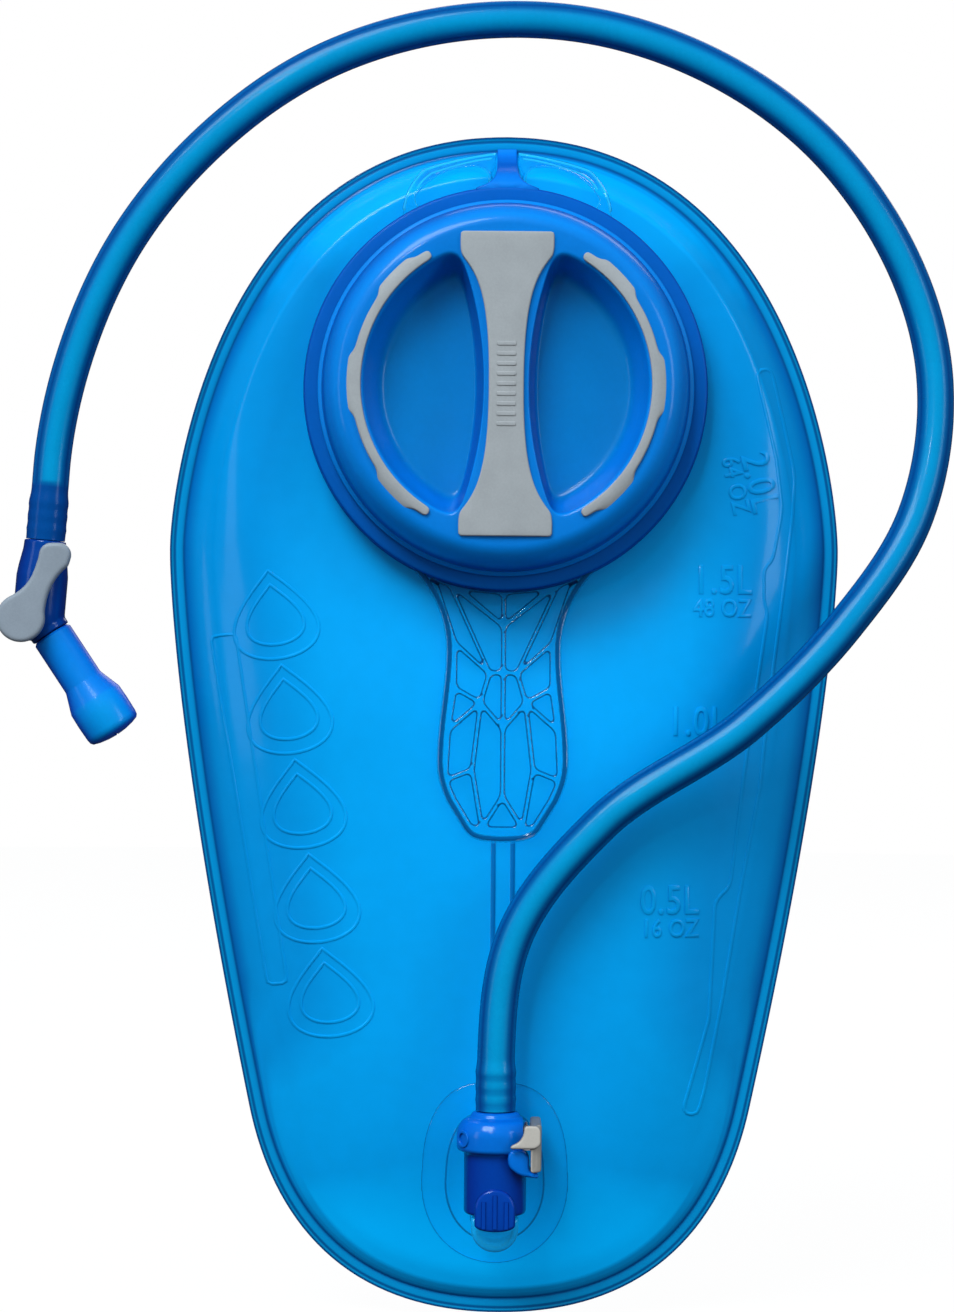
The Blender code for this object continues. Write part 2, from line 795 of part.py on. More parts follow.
def cap_gasket():
    profile = (
        (GASKET_INNER, GASKET_BACK),
        (GASKET_OUTER, GASKET_BACK),
        (GASKET_OUTER, GASKET_FRONT),
        (GASKET_INNER, GASKET_FRONT),
    )
    return finish("cap_gasket", turned(profile, at(0, 0, PORT_Z), FRONT, 32), GRIP_GREY, roughness=0.7)


# ---------------------------------------------------------------- exit port


def egg(centre_z, half_height, half_width, count):
    """An oval plan loop that is a little wider towards its bottom."""
    loop = []
    for step in range(count):
        angle = math.tau * step / count
        width = half_width * (1 - 0.12 * math.sin(angle))
        loop.append(Vector((EXIT_X + width * math.cos(angle), centre_z + half_height * math.sin(angle))))
    return loop


def offset_film(offset):
    return lambda x, z: film_front(x, z) + offset


def exit_port():
    flange_spots = egg(40.8, 11, 8, 12) + egg(40.8, 19, 14, 20)
    bm = sheet(egg(41.5, 26.3, 20.6, 36), [], flange_spots, offset_film(0.35), offset_film(1.55))
    port = finish("exit_port", bm, CLEAR_BLUE, roughness=0.1, alpha=0.6)
    pad_spots = egg(40.8, 11, 8, 12)
    pad = sheet(egg(40.8, 18.9, 13.7, 28), [], pad_spots, offset_film(0.9), offset_film(PAD_THICKNESS))
    bend = arc(ELBOW_RADIUS, math.pi, math.tau, 12, (EXIT_X, ELBOW_Z))
    bend += [Vector((EXIT_X + ELBOW_RADIUS, ELBOW_TOP)), Vector((EXIT_X - ELBOW_RADIUS, ELBOW_TOP))]
    spigot = (
        (0, ELBOW_Z),
        (SPIGOT_RADIUS, ELBOW_Z),
        (SPIGOT_RADIUS, 38.5),
        (4.3, 38.5),
        (4.3, 40.3),
        (SPIGOT_RADIUS, 40.3),
        (SPIGOT_RADIUS, 50.9),
        (4.2, 50.9),
        (4.2, 53.4),
        (SPIGOT_RADIUS, 53.4),
        (SPIGOT_RADIUS, SPIGOT_TOP),
        (0, SPIGOT_TOP),
    )
    bend_block = sheet(bend, [], [], offset_film(1.2), lambda x, z: ELBOW_FRONT)
    join(port, pad, bend_block, turned(spigot, at(EXIT_X, EXIT_HEIGHT, 0), UP, 18))
    upright_bore = (
        (0, ELBOW_Z - 1.3),
        (2.8, ELBOW_Z - 1.3),
        (2.8, SPRING_LEDGE_Z),
        (SPIGOT_BORE, SPRING_LEDGE_Z),
        (SPIGOT_BORE, SEAT_Z),
        (SEAT_BORE, SEAT_Z),
        (SEAT_BORE, SPIGOT_TOP + 1),
        (0, SPIGOT_TOP + 1),
    )
    cut(
        port,
        rod(at(EXIT_X, 8, ELBOW_Z), at(EXIT_X, EXIT_HEIGHT + 3.3, ELBOW_Z), ELBOW_BORE),
        turned(upright_bore, at(EXIT_X, EXIT_HEIGHT, 0), UP, 16),
    )
    return port


def spigot_o_ring():
    profile = ((4.55, 38.8), (5.35, 38.8), (5.35, 40), (4.55, 40))
    bm = turned(profile, at(EXIT_X, EXIT_HEIGHT, 0), UP, 18)
    return finish("spigot_o_ring", bm, SEAL_BLACK, roughness=0.6)


def exit_valve_poppet():
    profile = (
        (0, 42),
        (1.2, 42),
        (1.2, 47.2),
        (2.9, 47.2),
        (2.9, 49.2),
        (1.2, 49.2),
        (1.2, 55.3),
        (0, 55.3),
    )
    bm = turned(profile, at(EXIT_X, EXIT_HEIGHT, 0), UP, 14)
    return finish("exit_valve_poppet", bm, DEEP_BLUE)


def exit_valve_seal():
    profile = ((1.5, 49.5), (2.8, 49.5), (2.8, 50.3), (1.5, 50.3))
    bm = turned(profile, at(EXIT_X, EXIT_HEIGHT, 0), UP, 14)
    return finish("exit_valve_seal", bm, SEAL_BLACK, roughness=0.6)


def exit_valve_spring():
    bm = coil(at(EXIT_X, EXIT_HEIGHT, 33.9), UP, 2.4, 0.35, 12.6, 4)
    return finish("exit_valve_spring", bm, STEEL, metallic=1.0)


# ---------------------------------------------------------------- hose connector


def barb_profile(start, length):
    """The outside of a hose barb: three teeth that lean back from the tip."""
    tooth = length / 3
    profile = []
    for step in range(3):
        low = start + tooth * step
        profile += [(BARB_RADIUS, low), (BARB_RADIUS + 0.15, low + 0.3), (BARB_RADIUS, low + tooth - 0.3)]
    return profile + [(BARB_RADIUS - 0.2, start + length)]


def connector_body():
    profile = [
        (SOCKET_RADIUS, BARREL_BOTTOM),
        (BARREL_RADIUS, BARREL_BOTTOM),
        (BARREL_RADIUS, COLLAR_BOTTOM),
        (COLLAR_RADIUS, COLLAR_BOTTOM),
        (COLLAR_RADIUS, 59),
        (9.6, 60.8),
        (8, COLLAR_TOP),
        *barb_profile(COLLAR_TOP, BARB_LENGTH),
        (BARB_BORE, COLLAR_TOP + BARB_LENGTH),
        (BARB_BORE, SOCKET_TOP),
        (SOCKET_RADIUS, SOCKET_TOP),
    ]
    bm = turned(profile, at(EXIT_X, EXIT_HEIGHT, 0), UP, 20)
    connector = finish("connector_body", bm, DEEP_BLUE, roughness=0.3)
    tongue = box(at(EXIT_X - 5.5, ELBOW_FRONT + 3, 29.2), at(EXIT_X + 5.5, ELBOW_FRONT + 0.6, 37))
    poppet_stop = box(at(EXIT_X - 2.3, EXIT_HEIGHT + 0.7, 55.6), at(EXIT_X + 2.3, EXIT_HEIGHT - 0.7, 57.2))
    join(connector, tongue, poppet_stop)
    slot = arc(6.9, math.pi / 2, 1.5 * math.pi, 12, (EXIT_X - BUTTON_TRAVEL, EXIT_HEIGHT))
    slot += [Vector((10, EXIT_HEIGHT - 6.9)), Vector((10, EXIT_HEIGHT + 6.9))]
    cut(
        connector,
        box(at(CONNECTOR_FLAT_X, LIP_FRONT, 45.5), at(12, 10, 63)),
        upright_prism(slot, LATCH_Z - 0.3, LATCH_Z + LATCH_THICKNESS + 0.3),
        rod(at(3.4, EXIT_HEIGHT, 57), at(8, EXIT_HEIGHT, 57), 1.9, 16),
    )
    return connector


def release_button():
    """A side wall to press, a lip over the collar's front, and a latch plate inside."""
    wall = box(at(8.4, LIP_FRONT, 45.9), at(11.4, 24, 58.9))
    button = finish("release_button", wall, BUTTON_GREY, roughness=0.5)
    lip = box(at(2.8, LIP_FRONT, 52.5), at(10, LIP_FRONT - 1.5, 58.9))
    outer = arc(6.6, math.pi / 2, 1.5 * math.pi, 12, (EXIT_X, EXIT_HEIGHT))
    outer += [Vector((9.6, EXIT_HEIGHT - 6.6)), Vector((9.6, EXIT_HEIGHT + 6.6))]
    eye = arc(5.35, math.pi / 2, 1.5 * math.pi, 12, (EXIT_X, EXIT_HEIGHT))
    eye += arc(5.35, -math.pi / 2, math.pi / 2, 12, (EXIT_X + BUTTON_TRAVEL, EXIT_HEIGHT))
    join(button, lip, upright_prism(outer, LATCH_Z, LATCH_Z + LATCH_THICKNESS))
    cut(button, upright_prism(eye, LATCH_Z - 1, LATCH_Z + LATCH_THICKNESS + 1))
    return button


def button_spring():
    bm = coil(at(3.8, EXIT_HEIGHT, 57), RIGHT, 1.3, 0.3, 4.1, 3)
    return finish("button_spring", bm, STEEL, metallic=1.0)


# ---------------------------------------------------------------- hose


def hose_path(steps):
    """A smooth curve through the route's points, with handles a third of the way to each neighbour."""
    path = []
    tangents = []
    for index in range(len(HOSE_ROUTE)):
        before = HOSE_ROUTE[max(index - 1, 0)]
        after = HOSE_ROUTE[min(index + 1, len(HOSE_ROUTE) - 1)]
        tangents.append((after - before).normalized())
    for index in range(len(HOSE_ROUTE) - 1):
        start = HOSE_ROUTE[index]
        end = HOSE_ROUTE[index + 1]
        reach = (end - start).length / 3
        first = start + tangents[index] * reach
        second = end - tangents[index + 1] * reach
        path += [Vector(p) for p in interpolate_bezier(start, first, second, end, steps + 1)][:-1]
    return path + [HOSE_ROUTE[-1]]


def drinking_tube():
    return finish("drinking_tube", swept(hose_path(3), HOSE_RADIUS, HOSE_BORE, 8), HOSE_BLUE, alpha=0.8)


# ---------------------------------------------------------------- bite valve


def valve_body():
    """An elbow: a barb up into the hose, a spout for the mouthpiece, and a cross bore for the plug."""
    profile = [
        (0, -7.6),
        (4, -6.8),
        (6.4, -4.2),
        (7.3, 0),
        (7.3, 11),
        (6.6, 15.5),
        (5.3, 18.5),
        (5.3, 20.8),
        *barb_profile(20.8, BARB_LENGTH),
        (0, 20.8 + BARB_LENGTH),
    ]
    body = finish("valve_body", turned(profile, ELBOW, HOSE_END_AXIS), DEEP_BLUE)
    spout = ((0, 0), (5.8, 0), (5.8, 6.3), (4.1, 6.3), (4.1, 16.5), (4.3, 17), (3.9, 20), (0, 20))
    pivot_x = LEVER_PIVOT.x
    pivot_z = LEVER_PIVOT.z
    join(
        body,
        turned(spout, ELBOW, SPOUT_AXIS, 16),
        rod(at(pivot_x, -1.2, pivot_z), at(pivot_x, 12.9, pivot_z), 6.4, 18),
    )
    centre = Vector((pivot_x, ELBOW.y, pivot_z))
    cut(
        body,
        rod(at(pivot_x, 0.2, pivot_z), at(pivot_x, 16, pivot_z), PLUG_BORE, 18),
        swept([centre, ELBOW + HOSE_END_AXIS * 13, ELBOW + HOSE_END_AXIS * 36], FLOW_BORE),
        swept([centre, ELBOW + SPOUT_AXIS * 9, ELBOW + SPOUT_AXIS * 22], FLOW_BORE),
    )
    return body


def valve_barrel():
    """The turning plug, with a groove near each end and a bent flow bore."""
    radius = PLUG_VALVE_RADIUS
    profile = (
        (0, 0.5),
        (radius, 0.5),
        (radius, 1.3),
        (3.4, 1.3),
        (3.4, 2.7),
        (radius, 2.7),
        (radius, 9.6),
        (3.4, 9.6),
        (3.4, 11),
        (radius, 11),
        (radius, 13.4),
        (0, 13.4),
    )
    barrel = finish("valve_barrel", turned(profile, LEVER_PIVOT, FRONT), DEEP_BLUE)
    centre = Vector((LEVER_PIVOT.x, ELBOW.y, LEVER_PIVOT.z))
    towards_hose = (ELBOW + HOSE_END_AXIS * 13 - centre).normalized()
    towards_spout = (ELBOW + SPOUT_AXIS * 9 - centre).normalized()
    cut(
        barrel,
        rod(centre - towards_hose, centre + towards_hose * 6, FLOW_BORE, 12),
        rod(centre - towards_spout, centre + towards_spout * 6, FLOW_BORE, 12),
    )
    return barrel


def barrel_o_ring(name, height):
    profile = ((3.65, height), (4.35, height), (4.35, height + 0.8), (3.65, height + 0.8))
    return finish(name, turned(profile, LEVER_PIVOT, FRONT), SEAL_BLACK, roughness=0.6)


def valve_lever():
    """A round hub with an arm that runs up beside the hose end to a rounded tip."""
    hub = (LEVER_PIVOT.x, LEVER_PIVOT.z)
    tip = (-126.5, 214.0)
    outline = arc(6.5, math.radians(130), math.radians(380), 20, hub)
    outline += [Vector((-128.6, 203.5)), Vector((-125.6, 208.6))]
    outline += arc(3.9, math.radians(-15), math.radians(165), 10, tip)
    outline += [Vector((-133.6, 209)), Vector((-137.4, 203.6))]
    return finish("valve_lever", prism(outline, LEVER_BACK, LEVER_FRONT), LEVER_GREY)


def bite_valve():
    """A soft sleeve over the spout that flares into a hollow mouthpiece with a slit."""
    profile = (
        (4.6, 6.6),
        (5.8, 6.6),
        (5.8, 23),
        (8, 28.9),
        (8, 38),
        (7.6, 39.4),
        (4, 40.3),
        (0, 40.6),
        (0, 38.8),
        (6.2, 37.4),
        (6.2, 29.6),
        (4.6, 22.5),
    )
    valve = finish("bite_valve", turned(profile, ELBOW, SPOUT_AXIS), VALVE_BLUE, roughness=0.45)
    slit = box(Vector((-0.4, -4.5, 36)), Vector((0.4, 4.5, 43)))
    slit.transform(Matrix.Translation(ELBOW) @ UP.rotation_difference(SPOUT_AXIS).to_matrix().to_4x4())
    cut(valve, slit)
    return valve


def main():
    for old in list(bpy.data.objects):
        bpy.data.objects.remove(old, do_unlink=True)
    front_film()
    back_film()
    centre_baffle()
    fill_neck()
    port_frame()
    exit_port()
    spigot_o_ring()
    exit_valve_spring()

    poppet_axis = pivot("poppet_axis", at(EXIT_X, EXIT_HEIGHT, SEAT_Z))
    hang([exit_valve_poppet(), exit_valve_seal()], poppet_axis)

    tether_axis = pivot("tether_axis", at(0, TETHER_BACK, PORT_Z))
    cap_axis = pivot("cap_axis", at(0, CAP_TOP, PORT_Z), tether_axis)
    hang([cap_tether()], tether_axis)
    cap = [cap_shell(), cap_handle_grip(), cap_gasket()]
    cap += [cap_arc_grip("cap_arc_grip_left", -1), cap_arc_grip("cap_arc_grip_right", 1)]
    hang(cap, cap_axis)

    hose_axis = pivot("hose_axis", at(EXIT_X, EXIT_HEIGHT, COLLAR_TOP))
    hang([connector_body(), button_spring(), drinking_tube()], hose_axis)
    button_axis = pivot("button_axis", at(10, EXIT_HEIGHT, LATCH_Z), hose_axis)
    hang([release_button()], button_axis)

    valve_axis = pivot("valve_axis", ELBOW, hose_axis)
    hang([valve_body()], valve_axis)
    lever_axis = pivot("lever_axis", LEVER_PIVOT, valve_axis)
    lever = [valve_lever(), valve_barrel()]
    lever += [barrel_o_ring("barrel_o_ring_back", 1.6), barrel_o_ring("barrel_o_ring_front", 9.9)]
    hang(lever, lever_axis)
    mouthpiece_axis = pivot("mouthpiece_axis", ELBOW + SPOUT_AXIS * 30, valve_axis)
    hang([bite_valve()], mouthpiece_axis)


main()
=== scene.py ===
"""The finished look of a two-litre hydration bladder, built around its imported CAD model.

Lengths are millimetres from the rim's lowest point until a mesh is made. +X is right, +Z is
up and the bladder faces -Y. A height is a distance in front of the rim's plane, so a point
at height h has y = -h. Plan shapes are lists of (x, z) points.
"""

import math

import bmesh
import bpy
import numpy as np
from mathutils import Matrix, Vector, noise
from mathutils.bvhtree import BVHTree
from mathutils.geometry import delaunay_2d_cdt, interpolate_bezier as bezier
from mathutils.kdtree import KDTree


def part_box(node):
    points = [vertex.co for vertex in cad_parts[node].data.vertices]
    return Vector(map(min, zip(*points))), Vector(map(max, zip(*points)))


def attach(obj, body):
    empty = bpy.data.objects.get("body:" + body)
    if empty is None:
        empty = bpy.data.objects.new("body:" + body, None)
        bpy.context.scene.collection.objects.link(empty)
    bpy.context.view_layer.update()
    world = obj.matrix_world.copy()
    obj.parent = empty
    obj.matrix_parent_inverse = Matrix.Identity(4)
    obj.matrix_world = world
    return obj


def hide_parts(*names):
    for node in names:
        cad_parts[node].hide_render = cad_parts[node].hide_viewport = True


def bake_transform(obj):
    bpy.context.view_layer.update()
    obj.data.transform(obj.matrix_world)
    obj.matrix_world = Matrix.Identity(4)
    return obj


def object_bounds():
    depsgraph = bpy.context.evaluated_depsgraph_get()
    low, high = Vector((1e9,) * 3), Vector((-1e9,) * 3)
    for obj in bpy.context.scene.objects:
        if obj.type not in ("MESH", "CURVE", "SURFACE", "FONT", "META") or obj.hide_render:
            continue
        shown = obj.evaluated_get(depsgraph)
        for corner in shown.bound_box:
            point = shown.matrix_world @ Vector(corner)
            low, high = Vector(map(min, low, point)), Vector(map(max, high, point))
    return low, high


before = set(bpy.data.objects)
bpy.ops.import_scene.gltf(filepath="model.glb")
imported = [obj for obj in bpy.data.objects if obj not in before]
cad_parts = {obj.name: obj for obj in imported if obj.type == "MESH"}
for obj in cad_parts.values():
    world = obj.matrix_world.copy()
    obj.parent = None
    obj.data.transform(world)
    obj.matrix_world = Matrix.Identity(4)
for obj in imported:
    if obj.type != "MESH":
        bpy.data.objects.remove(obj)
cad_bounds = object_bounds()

MM = 0.001
FRONT = Vector((0, -1, 0))
UP = Vector((0, 0, 1))
RIGHT = Vector((1, 0, 0))

# Bladder
FILM_GAP = 0.15
FILM = 0.7
BLADDER_HEIGHT = 334.6
HALF_WIDTH = 95.1
WIDEST_Z = 216.6
FLANK = Vector((71.15, 58.3))
FLANK_LEAN = 0.21
RIM_WIDTH = 4.0
FRONT_BULGE = 18.0
BACK_BULGE = 16.0
FRONT_REACH = 52.0
BACK_REACH = 45.0
BULGE_POWER = 2.2
SOFTENING = 0.9
FRONT_PASSES = 110
BACK_PASSES = 70
RIPPLE_SIZE = 34
FILM_AROUND = 288
NEAR_RIM = (0, 0.35, 0.7, 1.05, 1.4, 1.8, 2.4, 3.1, 3.7, 4.0, 4.3, 4.8, 5.6, 6.6, 8, 10, 12)
RINGS_TO_PORT = 84

WELD_LINES = (-2.4, 3.0)
WELD_LOW = 80.0
WELD_HIGH = 136.0
WELD_TINT = 0.055
RIDGE_SINK = 0.05
DROPS = 5
DROP_LEAN = math.atan2(20, 135)

# Volume marks: words, middle, turn in degrees and size
LETTER_WIDTH = 0.82
VOLUME_MARKS = (
    ("2.0L", (71.6, 236.4), -77, 11.5),
    ("64 OZ", (64.8, 235.4), -77, 7.0),
    ("1.5L", (61.4, 208.4), 0, 11.5),
    ("48 OZ", (61.4, 200.6), 0, 7.0),
    ("1.0L", (54.4, 168.6), 0, 11.5),
    ("0.5L", (47.2, 118.4), 0, 11.5),
    ("16 OZ", (47.4, 110.6), 0, 7.0),
)

# Fill port
PORT_Z = 261.5
PORT_RISE = 12.0
PORT_SHOULDER = 9.5
PORT_FLAT_RADIUS = 60.0
PORT_FADE = 35.0
FILM_HOLE_RADIUS = 42.0
NECK_BORE = 41.0
NECK_RADIUS = 44.5
FLANGE_RADIUS = 56.8
NECK_BASE = 13.15
NECK_TOP = 30.5
LUG_RADIUS = 47.2
LUG_STARTS = 3
LUG_THICKNESS = 1.9
LUG_GAP = 0.43
THREAD_LEAD = 14.0
NECK_LUG_HEIGHT = 21.5
FRAME_RING_BORE = 47.8
FRAME_BACK = 1.9
FRAME_THICKNESS = 1.75
WING_ROOT_RADIUS = 56.0
RIB_HALF_WIDTH = 0.9
RIB_DRAFT = 0.3

# Cap
CAP_BOTTOM = 17.0
CAP_TOP = 38.0
CAP_LUG_BORE = 45.2
SKIRT_BORE = 47.6
CAP_CEILING = 32.5
PLUG_RADIUS = 39.6
PLUG_BOTTOM = 24.0
POCKET_DEPTH = 11.0
CORNER_PASSES = 8
HANDLE_PAD_FRONT = 39.3
HANDLE_PAD_WAIST = 4.8
HANDLE_PAD_EAR = (12.1, 34.8)
HANDLE_PAD_END = (12.8, 41.8)
LADDER_RIBS = 9
ARC_PAD_FRONT = 38.9
ARC_PAD_INNER = 40.0
ARC_PAD_OUTER = 42.6
ARC_PAD_BUMP = 1.9
ARC_PAD_REACH = 59.5
SHOULDER_INNER = 44.0
SHOULDER_OUTER = 51.2
RIM_LEDGE_RADIUS = 52.5
SHOULDER_BASE = 24.5
TETHER_BORE = 50.5
TETHER_RADIUS = 56.4
TETHER_BACK = 18.1
TETHER_FRONT = 21.1
STRAP_HALF_WIDTH = 2.8
STRAP_LOW = 315.5
STRAP_FLARE_Z = 319.3
STRAP_TOP = 331.0

# Exit port and hose connector, on one upright axis
EXIT_X = -1.2
EXIT_HEIGHT = 31.8
ELBOW_Z = 29.5
ELBOW_RADIUS = 6.6
ELBOW_TOP = 32.6
ELBOW_FRONT = 37.2
SPIGOT_RADIUS = 5.0
SPIGOT_TOP = 55.0
BARREL_BOTTOM = 33.1
BARREL_RADIUS = 8.6
COLLAR_BOTTOM = 50.2
COLLAR_RADIUS = 10.7
COLLAR_TOP = 61.3
SOCKET_RADIUS = 5.6
SOCKET_TOP = 55.4
BARB_RADIUS = 2.7
BARB_BORE = 1.9
BARB_LENGTH = 11.6
BUTTON_TRAVEL = 1.6
CONNECTOR_FLAT_X = 6.3
LATCH_Z = 51.4
LATCH_THICKNESS = 1.5
LIP_FRONT = EXIT_HEIGHT + COLLAR_RADIUS + 1.9
PANEL_FRONT = EXIT_HEIGHT + BARREL_RADIUS + 0.7

# Bite valve end: the elbow's centre, and the directions of its two arms
ELBOW = Vector((-131.6, -6, 197.4))
HOSE_END_AXIS = Vector((0.0796, 0, 0.9968))
SPOUT_AXIS = Vector((0.556, 0, -0.831))
HOSE_END = 21.3
LEVER_PIVOT = Vector((-135.6, 0, 196.4))
LEVER_HUB = 6.8
LEVER_BACK = 13.7
LEVER_FRONT = 16.6

# Hose
HOSE_RADIUS = 5.2
HOSE_BORE = 3.3
HOSE_PLACES = (
    (-1.2, -31.8, 61.6), (-1.2, -31.8, 68.5), (-1.2, -31.7, 76),
    (3.5, -30, 109), (27, -29, 140.4), (67.7, -27, 168.5),
    (95.3, -21, 196.3), (115.9, -12, 227.8), (121.6, -6, 266.6),
    (95.1, -6, 325.9), (29.6, -6, 364.4), (-55.3, -6, 353.2),
    (-85.4, -6, 331.0), (-108.0, -6, 302.9), (-121.7, -6, 271.9),
)
HOSE_ROUTE = [Vector(place) for place in HOSE_PLACES]
HOSE_ROUTE += [ELBOW + HOSE_END_AXIS * (HOSE_END + past) for past in (24, 15, 0)]

# Studio. The floor and lamps are in metres: a lamp has a name, place, size, power and colour
SKY_COLOUR = (0.85, 0.94, 1.0)
SKY_BELOW = 0.04
SKY_ABOVE = 0.74
MIRRORED_SKY_COLOUR = (0.5, 0.8, 1.0)
MIRRORED_SKY_STRENGTH = 0.06
FLOOR_RADIUS = 2.4
FLOOR_GAP = 0.0006
FLOOR_GLOW = 0.97
LAMP_COLOUR = (0.8, 0.94, 1.0)
LAMPS = (
    ("key", (-0.9, -1.6, 2.0), (1.4, 1.1), 60, LAMP_COLOUR),
    ("fill", (1.9, -1.4, 0.6), (0.6, 1.4), 12, LAMP_COLOUR),
    ("side", (-2.0, -1.2, 0.4), (0.5, 1.4), 4, LAMP_COLOUR),
    ("rim", (0.3, 1.3, 0.9), (1.2, 0.8), 6, (1, 1, 1)),
    ("spark", (-0.35, -1.3, 0.75), (0.1, 0.1), 1.5, (1, 1, 1)),
)
LIT_HEIGHT = 190
CAMERA_ROLL = math.radians(-0.49)
SENSOR = 36.0
SEEN_HEIGHT = 373.9

# The colour sockets of a mix node, which shares their names with other sockets
COLOUR_A = 6
COLOUR_B = 7
MIXED_COLOUR = 2

# The angle in degrees from which an edge is shaded sharp, and a small moulding's softening
SHARP = 40
MOULDED_SHARP = 60
SOFTENING_STEPS = 4

film_low, film_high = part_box("front_film")
ORIGIN = Vector(((film_low.x + film_high.x) / 2, film_high.y + FILM_GAP * MM, film_low.z))
PLACE = Matrix.Translation(ORIGIN) @ Matrix.Scale(MM, 4)
CAMERA_PLACE = PLACE @ Vector((-7.4, -1000, 186.8))


def clamp(value):
    return min(1.0, max(0.0, value))


def smooth(value):
    share = np.clip(value, 0.0, 1.0)
    return share * share * (3 - 2 * share)


def mix(first, second, share):
    return first + (second - first) * share


def at(x, height, z):
    return Vector((x, -height, z))


def polar(radius, angle, centre=(0.0, PORT_Z)):
    return Vector((centre[0] + radius * math.cos(angle), centre[1] + radius * math.sin(angle)))


def curved(points, counts):
    """Curves end to end, through a start and then two handles and an end for each count."""
    line = [Vector(points[0])]
    for index, count in enumerate(counts):
        line += bezier(*points[3 * index : 3 * index + 4], count)[1:]
    return line


def arc(radius, first, last, count, centre=(0.0, PORT_Z)):
    return [polar(radius, first + (last - first) * i / count, centre) for i in range(count + 1)]


def circle(radius, count, centre=(0.0, PORT_Z)):
    return arc(radius, 0, math.tau, count, centre)[:-1]


def rectangle(left, right, low, high):
    return [Vector(corner) for corner in ((left, low), (right, low), (right, high), (left, high))]


def mirrored(points):
    """The same points on the other side of x = 0, in reverse order."""
    return [Vector((-p[0], p[1])) for p in reversed(points)]


def both_sides(points):
    return [points, mirrored(points)]


def rounded(points, radius, closed=True, steps=5):
    """Replaces each sharp corner of a plan line or profile with a short curve."""
    points = [Vector(point) for point in points]
    least_turn = math.radians(14)
    result = []
    for index, here in enumerate(points):
        inner = closed or 0 < index < len(points) - 1
        before = points[index - 1]
        after = points[(index + 1) % len(points)]
        if not inner or (here - before).angle(after - here, 0) < least_turn:
            result.append(here)
            continue
        reach = min(radius, (here - before).length * 0.48, (after - here).length * 0.48)
        start = here + (before - here).normalized() * reach
        end = here + (after - here).normalized() * reach
        for step in range(steps + 1):
            share = step / steps
            result.append(mix(mix(start, here, share), mix(here, end, share), share))
    return result


def resampled(points, gap, closed=False):
    """Points at nearly even gaps along a plan line."""
    line = points + points[:1] if closed else points
    lengths = np.cumsum([0.0] + [(b - a).length for a, b in zip(line, line[1:])])
    count = max(2, round(lengths[-1] / gap))
    places = np.linspace(0, lengths[-1], count + 1)
    xs = np.interp(places, lengths, [p.x for p in line])
    zs = np.interp(places, lengths, [p.y for p in line])
    even = [Vector((x, z)) for x, z in zip(xs, zs)]
    return even[:-1] if closed else even


def soft_loop(corners, radius, gap):
    """A closed loop of evenly spaced points, with its corners rounded."""
    return resampled(rounded(corners, radius), gap, closed=True)


def relaxed(loop, passes):
    """Softens the corners of a closed loop of evenly spaced points."""
    for _ in range(passes):
        neighbours = zip(loop[-1:] + loop, loop, loop[1:] + loop[:1])
        loop = [(before + here * 2 + after) / 4 for before, here, after in neighbours]
    return loop


def inset(loop, distance):
    """Moves each edge of a clockwise or anticlockwise loop inwards."""
    loop = [Vector(place) for place in loop]
    area = sum(a.x * b.y - b.x * a.y for a, b in zip(loop, loop[1:] + loop[:1]))
    side = 1 if area > 0 else -1
    moved = []
    for before, here, after in zip(loop[-1:] + loop[:-1], loop, loop[1:] + loop[:1]):
        first = (here - before).normalized()
        second = (after - here).normalized()
        first_normal = Vector((-first.y, first.x)) * side
        second_normal = Vector((-second.y, second.x)) * side
        middle = (first_normal + second_normal).normalized()
        moved.append(here + middle * distance / max(middle.dot(first_normal), 0.3))
    return moved


def inside_loop(point, loop):
    """Whether a plan point lies inside a closed loop, by counting crossings."""
    crossings = 0
    for a, b in zip(loop, loop[1:] + loop[:1]):
        if (a.y > point.y) != (b.y > point.y):
            if point.x < a.x + (b.x - a.x) * (point.y - a.y) / (b.y - a.y):
                crossings += 1
    return crossings % 2 == 1


def in_plan(point, outline, holes):
    return inside_loop(point, outline) and not any(inside_loop(point, hole) for hole in holes)


def near_lines(lines, reach):
    """A tint rule that marks the places within reach of any plan line."""
    spots = [spot for line in lines for spot in resampled(line, 0.25)]
    tree = KDTree(len(spots))
    for index, spot in enumerate(spots):
        tree.insert((spot.x, spot.y, 0), index)
    tree.balance()

    def rule(x, height, z):
        gaps = np.array([tree.find((a, b, 0))[2] for a, b in zip(x, z)])
        return smooth((reach - gaps) / 0.3 + 0.5)

    return rule


def above(level, span):
    """A tint rule that rises from 0 at a level to 1 a span higher up."""
    return lambda x, height, z: smooth((z - level) / span)


def lifted(loop, height, more=0.0):
    """Plan points put at a height, which is a number or a function of place."""
    return [at(p.x, (height(p.x, p.y) if callable(height) else height) + more, p.y) for p in loop]


# ---- shapes


def along_axis(base, axis):
    """Moves things that stand on the origin to a base, with their upright along an axis."""
    return Matrix.Translation(base) @ UP.rotation_difference(axis).to_matrix().to_4x4()


